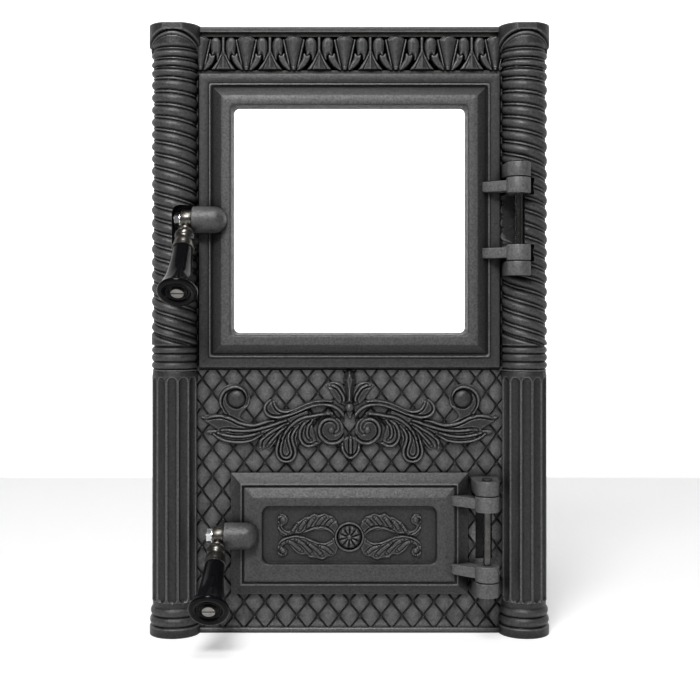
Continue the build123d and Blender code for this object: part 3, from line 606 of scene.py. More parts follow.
def polygon_depth(x, z, line):
    """Distance into a closed outline, negative outside, -1e9 where over 2 outside its box."""
    depth = np.full(x.shape, -1e9)
    near = (x > line[:, 0].min() - 2) & (x < line[:, 0].max() + 2)
    near &= (z > line[:, 1].min() - 2) & (z < line[:, 1].max() + 2)
    px, pz = x[near], z[near]
    best = np.full(px.shape, 1e9)
    odd = np.zeros(px.shape, bool)
    for (x0, z0), (x1, z1) in zip(line, np.roll(line, -1, axis=0)):
        length = math.hypot(x1 - x0, z1 - z0)
        if length == 0:
            continue
        dx, dz = (x1 - x0) / length, (z1 - z0) / length
        t = np.clip((px - x0) * dx + (pz - z0) * dz, 0, length)
        best = np.minimum(best, np.hypot(px - x0 - t * dx, pz - z0 - t * dz))
        if z0 != z1:
            spans = (z0 > pz) != (z1 > pz)
            odd ^= spans & (px < (x1 - x0) * (pz - z0) / (z1 - z0) + x0)
    depth[near] = np.where(odd, best, -best)
    return depth


def drawn(points):
    """Plate millimetres from the drawing's points."""
    return [((x - DRAWN_MID) / DRAWN_X, (DRAWN_FOOT - y) / DRAWN_Z) for x, y in points]


# Columns

HANDLE_ROOM = {"x": (-152.8, -125.0), "z": (333.3, 373.0), "rise": (0.5, 60.0), "corner": 7.0}
FLUTE_Z = (29.3, 224.0)
FLUTE_HALF = 4.1
# Mouldings of a column: lowest and highest level, radius at both, swell between
BANDS = ((250.4, 251.6, 18.4, 0.0), (244.6, 250.4, 18.2, 2.3), (237.4, 244.6, 18.2, 2.3),
         (231.0, 237.4, 18.2, 2.3), (228.8, 231.0, 18.5, 1.3), (24.6, 29.3, 19.5, 0.0),
         (16.9, 24.6, 19.0, 2.3), (8.4, 16.9, 19.4, 2.6))
CRESTS = [253.1] + [259.9 + 11.38 * i for i in range(19)] + [476.7, 487.8, 495.4, 503.9, 512.4]


def rope(theta, z):
    """Radius of the roped shaft: slanting beads with a thin rib in each valley."""
    slant = 5.2 * unit((505.0 - z) / 100.0)
    phase = np.interp(z + slant * theta, CRESTS, np.arange(len(CRESTS)))
    off = np.abs(phase - np.round(phase))
    bead = 17.5 + 3.0 * unit(1 - (off / 0.375) ** 2.1) ** 0.75
    rib = 17.3 + 1.7 * half_circle((0.5 - off) / 0.115)
    return np.maximum(bead, rib)


def swell(z, low, high, foot, rise):
    """Half-round moulding between two levels."""
    return foot + rise * np.sin(math.pi * unit((z - low) / (high - low))) ** 0.55


def flutes(theta, z):
    """Seven hollows with round ends."""
    shaft = 20.1
    low, high = FLUTE_Z
    past = np.maximum(np.maximum(z - (high - FLUTE_HALF), (low + FLUTE_HALF) - z), 0)
    radius = np.full(theta.shape, shaft)
    for k in range(-3, 4):
        across = (theta - math.radians(29.0 * k)) * shaft
        radius = radius - 2.3 * half_circle(np.hypot(across, past) / FLUTE_HALF) ** 0.8
    return radius


def cap_level(theta):
    """Lower edge of the cap, which dips towards the front."""
    return 524.0 - 13.5 * (1 - np.cos(theta))


def column_radius(theta, z):
    cap_low = cap_level(theta)
    r = rope(theta, z)
    r = np.where(z > cap_low - 5.0, swell(z, cap_low - 5.2, cap_low - 0.9, 18.6, 2.3), r)
    r = np.where(z > cap_low - 0.9, 19.0, r)
    r = np.where(z > cap_low, COLUMN_R - 1.6 * unit(1 - (z - cap_low) / 1.6) ** 2, r)
    r = np.where(z <= 228.8, 19.4 + 0.7 * unit((228.8 - z) / 4.0), r)
    r = np.where((z <= FLUTE_Z[1]) & (z > FLUTE_Z[0]), flutes(theta, z), r)
    for low, high, foot, rise in BANDS:
        r = np.where((z <= high) & (z > low), swell(z, low, high, foot, rise), r)
    r = np.where(z <= 8.4, 22.2 - 1.8 * unit((z - 7.2) / 1.2) ** 2, r)
    return np.minimum(r, COLUMN_R)


def levels():
    parts = [np.arange(0, 29.2, 0.55), np.arange(29.2, 35.0, 0.5), np.linspace(36, 216, 14),
             np.arange(217.5, 229, 0.5), np.arange(229, 252, 0.5), np.arange(252, 524, 0.62),
             np.linspace(524.2, 530.0, 10)]
    return np.concatenate(parts)


def column(name, side):
    """A turned front half, closed behind by a narrow core or, where hollow, by a wide one."""
    z = levels()
    theta = np.radians(np.linspace(-90, 90, 121))
    t, zz = np.meshgrid(theta, z)
    r = column_radius(t, zz)
    y = -r * np.cos(t)
    y = np.where(zz > cap_level(t) - 0.5, np.maximum(y, -20.9), y)
    hollow = np.zeros(z.shape, bool)
    for low, high in HOLLOWS:
        hollow |= (z > low) & (z < high)
    inner = np.where(hollow, HOLLOW_R, CORE_R)[:, None]
    back = np.radians(np.linspace(90, -90, 17))[None, :]
    ring_x = np.hstack([r * np.sin(t), inner * np.sin(back)]) + side * COLUMN_X
    ring_y = np.hstack([y, -inner * np.cos(back)])
    rows, n = ring_x.shape
    ring_z = np.repeat(z[:, None], n, axis=1)
    points = np.stack([ring_x, ring_y, ring_z], axis=-1).reshape(-1, 3)
    index = np.arange(rows * n).reshape(rows, n)
    after = np.roll(index, -1, axis=1)
    quads = np.stack([index[:-1], after[:-1], after[1:], index[1:]], axis=-1).reshape(-1, 4)
    faces = quads.tolist()
    outer = theta.size
    for row, flip in ((0, 1), (rows - 1, -1)):
        front = index[row, :outer]
        core = index[row, outer:][::-1]
        mid = np.linspace(0, len(core) - 1, outer).round().astype(int)
        for i in range(outer - 1):
            face = [front[i], front[i + 1], core[mid[i + 1]], core[mid[i]]]
            face = list(dict.fromkeys(int(v) for v in face))
            faces.append(face[::flip])
    return frame_part(name, (points, faces), IRON, 55.0)


def hinge_levels(door):
    """Lowest and highest level of each lug, knuckle and arm."""
    d = DOORS[door]
    half = d["span"] / 2
    lugs, knuckles, arms = [], [], []
    for side in (-1, 1):
        outer, inner = d["z"] + side * half, d["z"] + side * (half - LUG_H)
        lugs.append(tuple(sorted((outer, inner))))
        near = inner - side * HINGE_GAP
        far = near - side * KNUCKLE_H
        knuckles.append(tuple(sorted((near, far))))
        mid = (near + far) / 2
        arms.append((mid - ARM_H / 2, mid + ARM_H / 2))
    return lugs, knuckles, arms


def arm_outline(door, spare=0.0):
    d = DOORS[door]
    root = d["w"] / 2 - 8.0
    half = 8.0 + spare
    corners = [(root + i * half, -6.5 + j * (2.5 + spare)) for i in (-1, 1) for j in (-1, 1)]
    return hull(circle(d["pin"], -PIN_RISE, 7.0 + spare) + corners)


def columns():
    """Both columns, with room for the fire door's handle, knuckles and arms."""
    left = column("left_column", -1)
    corner = HANDLE_ROOM["corner"]
    (x0, x1), (z0, z1) = HANDLE_ROOM["x"], HANDLE_ROOM["z"]
    outline = arc(x0 + corner, z1 - corner, corner, corner, range(90, 181, 10))
    outline += arc(x0 + corner, z0 + corner, corner, corner, range(180, 271, 10))
    room = prism(outline + [(x1, z0), (x1, z1)], *HANDLE_ROOM["rise"])
    cut(left, [turned_back(room, 0.0, 0.0)], 55.0)
    right = column("right_column", 1)
    d = DOORS["upper"]
    rooms = []
    for low, high in hinge_levels("upper")[1]:
        for outline in (circle(d["pin"], -PIN_RISE, 15.5, 48), arm_outline("upper", 1.5)):
            rooms.append(prism(outline, low - HINGE_GAP, high + HINGE_GAP))
    inner = d["span"] / 2 - LUG_H - HINGE_GAP - KNUCKLE_H
    rooms.append(block((125.0, FIELD_X + 18.8), (-60, -2.0), (d["z"] - inner, d["z"] + inner)))
    cut(right, rooms, 55.0)


# Plate

def mouth(door):
    """Half width, half height and middle level of the opening behind a door."""
    d = DOORS[door]
    return d["w"] / 2 - MOUTH_INSET, d["h"] / 2 - MOUTH_INSET, d["z"]


def plate():
    shape = block((-COLUMN_X, COLUMN_X), (0, PLATE_T), (0, HEIGHT))
    obj = frame_part("plate", shape, BACK_IRON)
    cuts = [block((-FIELD_X - 3, FIELD_X + 3), (-5, GROUND), FIELD_Z)]
    for door in DOORS:
        w, h, z = mouth(door)
        cuts.append(block((-w, w), (-5, 40), (z - h, z + h)))
    cuts.append(block(POCKET_X, (-5, 4.2), POCKET_Z))
    for side in (-1, 1):
        for low, high in HOLLOWS:
            cuts.append(prism(circle(side * COLUMN_X, 0, HOLLOW_R, 32), low, high))
    cut(obj, cuts)


def collars():
    """Collars round both openings and four anchor bosses with blind holes, at the back."""
    root = PLATE_T - 1.0
    shapes = []
    for door in DOORS:
        w, h, z = mouth(door)
        for x in ((-w - COLLAR_T, -w), (w, w + COLLAR_T)):
            shapes.append(block(x, (root, 25.0), (z - h - COLLAR_T, z + h + COLLAR_T)))
        for level in ((z - h - COLLAR_T, z - h), (z + h, z + h + COLLAR_T)):
            shapes.append(block((-w, w), (root, 25.0), level))
    soften(frame_part("rear_collars", joined(shapes), BACK_IRON), 0.7, 1)
    bosses = [block((x - 10, x + 10), (root, 20.0), (z - 10, z + 10)) for x, z in ANCHORS]
    obj = frame_part("anchor_bosses", joined(bosses), BACK_IRON)
    soften(obj, 1.2, 2)
    hole = prism(circle(0, 0, 4.0, 32), -21.0, -8.0)
    cut(obj, [turned_back(hole, x, z) for x, z in ANCHORS])


def turned_back(shape, x, z):
    """A prism about Z, laid along Y."""
    points, faces = shape
    return [(px + x, -pz, py + z) for px, py, pz in points], faces


def lattice():
    """Ground of crossing V grooves, clipped to the field and the openings."""
    across, up, half, depth = 18.5, 24.5, 0.082, 1.0
    marks = [np.arange(-18, 19) + s for s in (-half, 0.0, half)] + [np.arange(-18, 18) + 0.5]
    marks = np.sort(np.concatenate(marks))
    u, v = np.meshgrid(marks, marks)
    deep = (np.abs(u - np.round(u)) < 1e-6) | (np.abs(v - np.round(v)) < 1e-6)
    proud = (np.abs(u * 2 % 2 - 1) < 1e-6) & (np.abs(v * 2 % 2 - 1) < 1e-6)
    x = across * (u + v) / 2
    z = 222.5 + up * (u - v) / 2
    rise = np.where(deep, -depth, np.where(proud, 0.12, 0.0))
    near = (np.abs(x) < FIELD_X + 20) & (z > -25) & (z < 260)
    keep = near[:-1, :-1] & near[1:, 1:] & near[1:, :-1] & near[:-1, 1:]
    obj = sheet_over("lattice_ground", x, z, rise, keep)
    bm = bmesh.new()
    bm.from_mesh(obj.data)
    side = FIELD_X + 2.5
    for co, no in (((-side, 0, 0), (-1, 0, 0)), ((side, 0, 0), (1, 0, 0)),
                   ((0, 0, FIELD_Z[0] + 0.5), (0, 0, -1)),
                   ((0, 0, FIELD_Z[1] - 1.0), (0, 0, 1))):
        slice_at(bm, co, no, True)
    w, h, middle = mouth("lower")
    holes = [(-w, w, middle - h, middle + h), POCKET_X + POCKET_Z]
    for x0, x1, z0, z1 in holes:
        for co, no in (((x0, 0, 0), (1, 0, 0)), ((x1, 0, 0), (1, 0, 0)),
                       ((0, 0, z0), (0, 0, 1)), ((0, 0, z1), (0, 0, 1))):
            slice_at(bm, co, no, False)
    gone = []
    for face in bm.faces:
        c = face.calc_center_median() / MM
        if any(x0 < c.x < x1 and z0 < c.z < z1 for x0, x1, z0, z1 in holes):
            gone.append(face)
    bmesh.ops.delete(bm, geom=gone, context="FACES")
    for face in bm.faces:
        if face.normal.y > 0:
            face.normal_flip()
    bm.to_mesh(obj.data)
    bm.free()
    obj.data.materials.append(IRON)
    add_skirt(obj, -2.2)
    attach(obj, "frame")
    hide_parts("front_frame")


def slice_at(bm, co, no, clear):
    geom = bm.verts[:] + bm.edges[:] + bm.faces[:]
    bmesh.ops.bisect_plane(bm, geom=geom, plane_co=[c * MM for c in co], plane_no=no,
                           clear_outer=clear)


def rails():
    rail = block((-FIELD_X - 5, FIELD_X + 5), (-4.0, 1.0), (0.0, 4.5))
    soften(frame_part("bottom_rail", rail, IRON), 1.2, 3)
    for name, side, spans in (("left_side_bead", -1, [(229.5, 333.0), (370.4, 488.0)]),
                              ("right_side_bead", 1, [(229.5, 311.5), (409.0, 488.0)])):
        beads = [side_bead(side, low, high) for low, high in spans]
        frame_part(name, joined(beads), IRON, 60.0)


def side_bead(side, low, high):
    """Half-round bead beside the fire door, uneven as cast."""
    z = np.arange(low, high, 0.9)
    rng = np.random.default_rng(int(low * 10) + side)
    wobble = rng.normal(0, 0.09, z.size)
    points, faces = [], []
    steps = 9
    for k, level in enumerate(z):
        for i in range(steps):
            a = math.pi * i / (steps - 1)
            r = 1.9 + wobble[k] * (0.5 + 0.5 * math.sin(3 * i + k))
            points.append((side * 133.3 + r * math.cos(a), 0.6 - (r + 0.7) * math.sin(a), level))
    for k in range(len(z) - 1):
        for i in range(steps - 1):
            a = k * steps + i
            faces.append((a, a + 1, a + steps + 1, a + steps))
    faces.append(tuple(range(steps)))
    faces.append(tuple(range((len(z) - 1) * steps, len(z) * steps))[::-1])
    return points, faces


def frame_lugs():
    for door, d in DOORS.items():
        foot = [(d["pin"] + i * (KNUCKLE_R + 2), j) for i in (-1, 1) for j in (-1.0, 2.0)]
        outline = hull(circle(d["pin"], -PIN_RISE, KNUCKLE_R, 48) + foot)
        shapes = [prism(outline, low, high) for low, high in hinge_levels(door)[0]]
        soften(frame_part(door + "_hinge_lugs", joined(shapes), IRON), 0.9, 3)


# Frieze

def frieze():
    """Row of tongues between hooked leaves and darts, under the top rail."""
    r = Relief((-136.0, 136.0), (488.6, HEIGHT), 0.42, 0.0)
    u = r.gx * DRAWN_X + DRAWN_MID
    v = DRAWN_FOOT - r.gz * DRAWN_Z
    tongues = [205.0, 249.5, 295.5, 345.0, 394.5, 445.0, 491.0]
    darts = [180.0] + [(a + b) / 2 for a, b in zip(tongues, tongues[1:])] + [517.0]
    for c, left, right in zip(tongues, darts, darts[1:]):
        shape_tongue(r, u, v, c)
        for side, dart in ((-1, left), (1, right)):
            shape_leaf(r, u, v, c, side, abs(dart - c))
    for c in darts[1:-1]:
        shape_dart(r, u, v, c)
    sill = -0.9 * unit((v - 67.6) / 1.2) * unit((70.6 - v) / 0.8) + 0.6 * unit((v - 70.3) / 0.5)
    r.h = np.where(v > 67.6, sill, r.h)
    r.h = np.where(v < 32.8, -0.8, r.h)
    top = 4.0 - 0.5 * unit((26.0 - v) / 2.0) ** 2
    r.h = np.where(v < 30.2, top * unit((30.2 - v) / 0.9) ** 0.5, r.h)
    every = np.ones((len(r.z) - 1, len(r.x) - 1), bool)
    add_skirt(relief_piece("frieze", r, every, "frame", "front_frame", 60.0), -3.0)


def shape_tongue(r, u, v, c):
    a = np.abs(u - c)
    down = unit((v - 38.0) / 28.5)
    half = (8.2 - 6.0 * down) * shoulder((v - 34.0) / 4.0)
    half = np.where((v < 34.0) | (v > 67.3), 0.01, half)
    t = unit(1 - (a / np.maximum(half, 0.01)) ** 2)
    foot = np.where(v > 64.0, 0.5, 0.0)
    h = (1.1 + 2.3 * (1 - 0.35 * down)) * np.sqrt(t) + foot * (t > 0)
    r.h = np.maximum(r.h, np.where(half > 0.05, h, 0))
    rim = 1.5 * half_circle(a - (9.6 - 6.1 * down)) * ((v > 36.5) & (v < 66.0))
    r.h = np.maximum(r.h, rim)
    head = np.hypot(u - c, (v - 42.0) * 1.05)
    r.h = np.maximum(r.h, 1.6 * half_circle((head - 9.3) / 0.9) * (v < 37.5))


def shape_leaf(r, u, v, c, side, reach):
    """Hooked lobe and the blade that runs from it to the tongue's foot."""
    scale = reach / 24.5
    a = (u - c) * side / scale
    lobe = [(11.0, 40.0), (12.0, 36.5), (15.0, 34.3), (19.0, 35.0), (21.6, 38.5), (22.2, 44.0),
        (21.4, 50.0), (19.6, 55.5), (17.6, 57.6), (17.2, 54.0), (15.4, 51.2), (12.8, 53.0),
        (11.6, 49.0)]
    inside = polygon_depth(a, v, smooth_line(lobe, 3, True))
    h = 3.1 * shoulder(inside / 4.0)
    r.h = np.maximum(r.h, np.where(inside > 0, 0.5 + h * 0.9, 0))
    blade = [(12.4, 52.5), (15.2, 51.6), (15.8, 55.0), (13.5, 60.0), (10.0, 64.5), (5.0, 68.0),
        (3.0, 67.0), (5.0, 62.0), (8.0, 56.5), (9.6, 50.0)]
    inside = polygon_depth(a, v, smooth_line(blade, 3, True))
    h = 2.2 * shoulder(inside / 2.2)
    r.h = np.maximum(r.h, np.where(inside > 0, 0.4 + h, 0))


def shape_dart(r, u, v, c):
    a = np.abs(u - c)
    dart = [(0.0, 33.5), (1.7, 35.0), (1.6, 48.0), (3.0, 51.5), (6.0, 58.5), (10.5, 64.8),
        (12.0, 67.2), (0.0, 67.4)]
    line = np.array(dart + [(-x, z) for x, z in dart[-2:0:-1]])
    inside = polygon_depth(u - c, v, line)
    h = np.where(inside > 0, 0.4 + 2.4 * shoulder(inside / 1.8), 0)
    middle = 1.1 * unit(1 - a / np.maximum((v - 50.0) * 0.30, 0.6)) * (v > 50)
    side = unit(1 - np.abs(a - (v - 50.0) * 0.42)) * (v > 53) * 0.9
    r.h = np.maximum(r.h, h + np.where(inside > 0, middle - side, 0))


# Scroll ornament

# Its left half, as drawn. Each line comes with half its width and its rise.
SCROLL_FORMS = [
    [(224, 405), (222.3, 398), (225, 390.5), (231, 385.8), (239, 384.3), (246, 386.5), (251, 392),
     (252.8, 399), (251.5, 406), (246.5, 412), (244, 417.5), (249, 422), (257, 423.8),
     (266, 421.5), (275, 419.6), (290, 417), (300, 413.5), (308, 410.3), (312, 421), (318, 444),
     (309, 449), (302, 445), (298.6, 438), (299.2, 450), (298.5, 457.5), (294.5, 463.2),
     (289, 464.6), (283, 463.4), (278.5, 459), (277, 452), (278.5, 444), (281, 437), (276.5, 445),
     (271.5, 450), (267, 449), (263.5, 451.5), (260.5, 449), (261.5, 440), (264, 437),
     (255, 442.5), (246, 445), (238, 445), (229, 443.5), (221, 440), (216, 436), (211, 433.5),
     (213, 430.5), (221, 430.3), (213.5, 425), (206, 419.5), (204.5, 417), (209, 416),
     (217, 414.6), (225.5, 414.3), (227, 412)],
    [(276, 399.5), (272, 400), (268, 403.5), (265.8, 408), (266.4, 413), (270, 417.7), (277, 420),
     (285, 419.4), (293, 417), (301, 413.4), (309, 410.2), (316, 408), (323, 407), (330, 408),
     (337, 411.8), (341.6, 417.5), (344.2, 424), (344.2, 431), (341.8, 436.6), (337, 441),
     (331, 442), (327, 439.8), (323.6, 435.2), (323, 429.5), (325.3, 424.5), (329, 422.6),
     (333, 423), (336, 426), (336, 430), (334, 432.5), (337, 435.5), (340.5, 431.5),
     (340.6, 423.5), (335.5, 418.4), (328, 417.4), (321, 421), (317.6, 428.6), (318.6, 437),
     (323.4, 443.6), (331, 447), (340, 445.4), (347, 439.6), (350, 431), (349.6, 422),
     (346.6, 414), (340.6, 407.6), (333.6, 403.2), (334, 401), (325, 399.6), (316, 400.4),
     (308, 402.8), (300, 406.4), (293, 409.2), (287, 410.2), (282.6, 408.6), (279.6, 404.8),
     (278.6, 400)],
    [(296, 420), (303, 417), (314, 414), (322, 412.6), (331, 412), (334, 414.5), (330, 417),
     (322, 417.5), (316, 420), (314.5, 424), (311, 430), (311.5, 437), (314.5, 441), (320, 443),
     (319, 446), (313, 448.6), (306, 447), (301.8, 441), (300.6, 433), (303, 426), (297, 425)],
]
SCROLL_LINES = [
    ([(248, 404), (249.5, 398), (248, 392), (244, 388.5), (239, 387), (233, 388.5), (228, 392),
     (225, 398), (224.5, 405), (227, 411), (230, 415)], 1.15, 1.5),
    ([(207, 418), (211, 418.5), (217, 417), (224, 416.3), (230, 417.5), (236, 420), (243, 423.5),
     (250, 425.5), (257, 426), (263, 424.5), (270, 422), (277, 421)], 1.15, 1.5),
    ([(226, 431), (232, 430.5), (240, 431.5), (250, 431.5), (258, 430.5), (266, 428.5), (274, 426),
     (282, 423), (288, 421.5)], 1.1, 1.45),
    ([(222, 434), (230, 436), (238, 437.3), (246, 437.3), (254, 436), (262, 433.5)], 1.0, 1.2),
    ([(218, 435), (223, 438.5), (230, 441.5), (238, 442.8), (246, 442.8), (254, 441.5),
     (261, 438.5), (266, 436)], 1.0, 1.2),
    ([(263, 448.5), (264, 441), (270, 435.4), (276, 431.4), (283, 427.5), (290, 424)], 1.1, 1.3),
    ([(270, 447), (274, 441.5), (278, 437), (283, 431), (288, 427.5)], 1.0, 1.2),
    ([(284, 436), (280.5, 444), (279, 452), (280.5, 458), (284, 461.5), (289, 462.5), (294, 461),
     (297, 456), (297, 450), (295, 444), (294, 438), (296, 432), (300, 427)], 1.1, 1.5),
    ([(288, 432), (285, 439), (283.3, 447), (283, 453), (285, 457.5), (288.5, 459), (292, 457),
     (293.3, 453), (292, 447), (290.5, 441), (291, 435), (294, 429.5)], 0.9, 1.0),
    ([(284, 440), (290, 430), (298, 422), (306, 418), (314, 416.5), (322, 415), (330, 414.5)], 1.1,
     1.4),
    ([(310, 421.5), (305, 425), (302, 431), (301.5, 438), (304, 443.5), (308, 446.5), (313, 446.5),
     (318, 444)], 1.1, 1.5),
    ([(314, 421), (310, 426), (308.5, 432), (309, 437), (312, 440.5)], 0.9, 1.0),
    ([(278, 398), (274, 399), (270, 402.5), (267.5, 407), (268, 412), (271.5, 416), (277, 418),
     (284, 417.5), (292, 415), (300, 411.5), (308, 408.2), (316, 405.6), (324, 404.8), (332, 406),
     (339, 410), (344, 416), (346.8, 423), (347, 431), (344, 438), (338.5, 443), (331, 444),
     (325, 441), (321, 435.5), (320.3, 429), (323, 423), (328, 420), (334, 420.5), (338, 424.5),
     (338.5, 430), (336, 433)], 1.25, 1.7),
    ([(276, 401), (277.5, 406), (281, 410.5), (287, 412.5), (294, 411.5), (301, 408.5),
     (309, 404.8), (317, 402.5), (325, 401.8), (333, 402.5)], 0.9, 1.1),
]
SPIKE = [(349.5, 368.5), (345.5, 373), (343.5, 380), (345.5, 395), (346.5, 404), (352.5, 404),
    (353.5, 395), (356, 380), (354, 373)]
PETAL = [(326, 385), (333, 382.3), (340, 383), (345, 388), (346.5, 397), (345.3, 406),
    (340, 404.5), (335.5, 400), (332, 394), (329, 389)]
PETAL_VEIN = [(330, 385.5), (334, 386), (338.5, 388.5), (341, 392), (343.3, 396), (344.2, 400),
    (343, 404)]
NECK = [(345.6, 408), (346.8, 414), (348.8, 419), (351, 419), (352.6, 414), (353.6, 408)]
DROP = [(341.5, 441), (340.6, 449), (343, 455.5), (346.5, 459), (350.5, 460.6), (355, 459),
    (358.5, 455), (360.4, 449), (359.8, 441), (350.7, 437)]


def scroll():
    """Left half of the scroll work over the lattice, then its mirror."""
    r = Relief((-133.5, -5.0), (148.0, 222.0), 0.42, -2.0)
    disc = arc(332, 431, 13, 13, [math.degrees(k / 2) for k in range(12)])
    for outline in SCROLL_FORMS + [disc]:
        r.body(drawn(outline), 3.0, 2.0)
    for line, half, rise in SCROLL_LINES:
        line = drawn(line)
        r.groove(line, half + 1.5, 1.4, least=0.3)
        r.ridge(line, half + 0.3, rise + 1.3, least=-0.6)
    (x, z), volute, hollow = drawn([(240, 399), (332, 431), (288, 448)])
    d = np.hypot(r.gx - x, r.gz - z)
    r.h = np.where(d < 9.0, np.minimum(r.h, 1.0), r.h)
    r.dome(x, z, 7.8, 1.0, 4.2)
    r.dome(*volute, 3.4, 0.8, 4.0)
    d = np.hypot((r.gx - hollow[0]) / 0.6, r.gz - hollow[1])
    r.h = np.where(d < 6.0, r.h - 0.9 * (1 - (d / 6.0) ** 2), r.h)
    for name, side in (("left_scroll", 1), ("right_scroll", -1)):
        relief_piece(name, r, r.shown(-1.95), "frame", "front_frame", side=side)
    middle()


def middle():
    """Spike, petals, ball and drop between the two scrolls."""
    r = Relief((-25.0, 25.0), (148.0, 232.0), 0.42, -2.0)
    d = r.inside(drawn(SPIKE))
    h = 1.4 + 4.2 * unit(d / 4.0)
    r.h = np.where(d > 0, np.maximum(r.h, h), np.where(d > -0.6, np.maximum(r.h, -1.0), r.h))
    for side in (-1, 1):
        petal, vein = (drawn([(349.7 - side * (349.7 - x), y) for x, y in line])
                       for line in (PETAL, PETAL_VEIN))
        r.body(petal, 2.6, 2.2)
        r.groove(vein, 2.5, 1.2, least=0.3)
        r.ridge(vein, 1.3, 2.8)
    r.body(drawn(NECK), 3.0, 2.0)
    r.dome(*drawn([(349.6, 408)])[0], 4.2, 1.0, 4.6)
    r.body(drawn(DROP), 2.8, 2.4)
    for line, half, rise in (([(342.6, 444), (343, 450), (346, 455.6), (350.4, 458.4),
                               (355.4, 456), (358.4, 451), (359, 444)], 1.1, 1.2),
                             ([(350.7, 438), (350.7, 456)], 1.3, 1.5)):
        line = drawn(line)
        r.groove(line, half + 1.3, 1.2, least=0.3)
        r.ridge(line, half + 0.2, rise + 1.2)
    relief_piece("scroll_middle", r, r.shown(-1.95), "frame", "front_frame")


# Doors

def round_rect(half_w, half_h, radius, z, rise, steps=6):
    """Points round a rectangle with rounded corners, anticlockwise from the right."""
    radius = max(min(radius, half_w, half_h), 0.02)
    out = []
    for cx, cz, start in ((1, 1, 0), (-1, 1, 90), (-1, -1, 180), (1, -1, 270)):
        for k in range(steps + 1):
            a = math.radians(start + 90 * k / steps)
            out.append((cx * (half_w - radius) + radius * math.cos(a), -rise,
                        z + cz * (half_h - radius) + radius * math.sin(a)))
    return out


def ring_solid(door, profile, closed=True):
    """Sweeps (inset, rise, corner radius) points round a door's rectangle."""
    d = DOORS[door]
    points, faces = [], []
    for inset, rise, radius in profile:
        points += round_rect(d["w"] / 2 - inset, d["h"] / 2 - inset, radius, d["z"], rise)
    n = len(points) // len(profile)
    count = len(profile)
    for k in range(count if closed else count - 1):
        a, b = k * n, ((k + 1) % count) * n
        faces += [(a + i, a + (i + 1) % n, b + (i + 1) % n, b + i) for i in range(n)]
    return points, faces


def half_round(start, width, base, rise, radius, steps=7):
    out = []
    for k in range(steps):
        a = math.pi * k / (steps - 1)
        out.append((start + width / 2 * (1 - math.cos(a)), base + rise * math.sin(a), radius))
    return out


# Bead on each door: inset, width, rise of its foot and base, height, corners at foot and top
BEADS = {"upper": (8.8, 1.5, 7.2, 7.9, 0.75, 1.8, 2.0),
         "lower": (8.9, 1.2, 8.6, 9.4, 0.6, 1.0, 1.0)}


def upper_door():
    profile = [(0, 1.0, 0.8), (0, 6.3, 0.8), (0.25, 6.8, 0.8), (0.8, 7.0, 0.8), (7.6, 7.0, 1.2),
        (8.2, 6.7, 1.6)]
    profile += half_round(8.4, 2.3, 6.8, 1.35, 2.4)
    profile += [(10.9, 6.6, 1.6), (11.4, 6.5, 1.2), (12.1, 6.9, 0.8), (12.3, 7.1, 0.4),
                (19.9, 12.7, 0.4), (20.5, 13.0, 0.6), (26.6, 13.0, 3.2), (27.4, 12.8, 3.6),
                (28.0, 12.2, 4.2), (28.3, 11.3, 4.5), (30.2, 1.9, 4.5), (29.9, 1.0, 4.5),
                (12.25, 1.0, 1.0), (12.25, 4.5, 1.0), (4.75, 4.5, 1.0), (4.75, 1.0, 1.0)]
    door_part("upper", "_casting", ring_solid("upper", profile), DOOR_IRON, 28.0)
    hardware("upper")


def lower_door():
    """Front and back swept from the same first ring, each closed by a flat."""
    front = [(0, 1.0, 0.6), (0, 3.7, 0.6), (0.3, 4.1, 0.6), (0.8, 4.4, 0.6), (8.0, 8.5, 0.4),
        (8.5, 9.1, 0.6), (9.1, 9.5, 0.8), (9.9, 9.4, 0.8), (10.3, 8.8, 0.8), (10.7, 8.0, 0.6),
        (11.3, 7.8, 0.4), (11.9, 8.3, 0.4), (12.2, 9.0, 0.3), (20.0, 12.8, 0.4), (20.6, 13.0, 0.6),
        (26.6, 13.0, 5.4), (27.2, 12.8, 6.0), (27.7, 12.2, 6.3), (28.0, 11.2, 6.5),
        (28.3, 8.6, 6.5), (28.7, 8.1, 6.3), (29.4, 8.0, 6.0)]
    back = [(0, 1.0, 0.6), (4.75, 1.0, 1.0), (4.75, 4.5, 1.0), (12.25, 4.5, 1.0),
        (12.25, 1.0, 1.0), (15.0, 1.0, 3.0), (15.0, 5.0, 3.0)]
    points, faces = ring_solid("lower", front, closed=False)
    more, more_faces = ring_solid("lower", back, closed=False)
    n = len(more) // len(back)
    shift = len(points) - n
    faces.append(tuple(range(shift, shift + n))[::-1])
    more_faces.append(tuple(range(len(more) - n, len(more))))
    faces += [tuple(i if i < n else i + shift for i in face) for face in more_faces]
    door_part("lower", "_casting", (points + more[n:], faces), ASH_DOOR_IRON, 28.0)
    hardware("lower")
    medallion()


def hardware(door):
    """Bead, arms, knuckles and latch boss of one door."""
    d = DOORS[door]
    start, width, foot, base, rise, foot_corner, corner = BEADS[door]
    bead = [(start, foot, foot_corner)] + half_round(start, width, base, rise, corner)
    bead.append((start + width, foot, foot_corner))
    # The bead and arms take the paler iron: partly wear, partly a painted highlight.
    door_part(door, "_bead", ring_solid(door, bead), RUBBED_HIGHLIT_IRON, 60.0)
    _, knuckles, arms = hinge_levels(door)
    shapes = [prism(arm_outline(door), low, high) for low, high in arms]
    shapes += [prism(circle(d["pin"], -PIN_RISE, KNUCKLE_R, 56), low, high)
               for low, high in knuckles]
    soften(door_part(door, "_hinge_arms", joined(shapes), RUBBED_HIGHLIT_IRON), 0.8, 3)
    profile = [(0, 0.0), (10.6, 0.0), (11.3, 0.3), (11.5, 1.0)]
    profile += arc(0, 18.5, 11.5, 11.0, range(0, 90, 6)) + [(0.6, 29.5), (0, 29.5)]
    boss = moved(along_x(lathe(profile, 64)), d["left"], -BOSS_RISE, d["z"])
    door_part(door, "_latch_boss", boss, IRON)


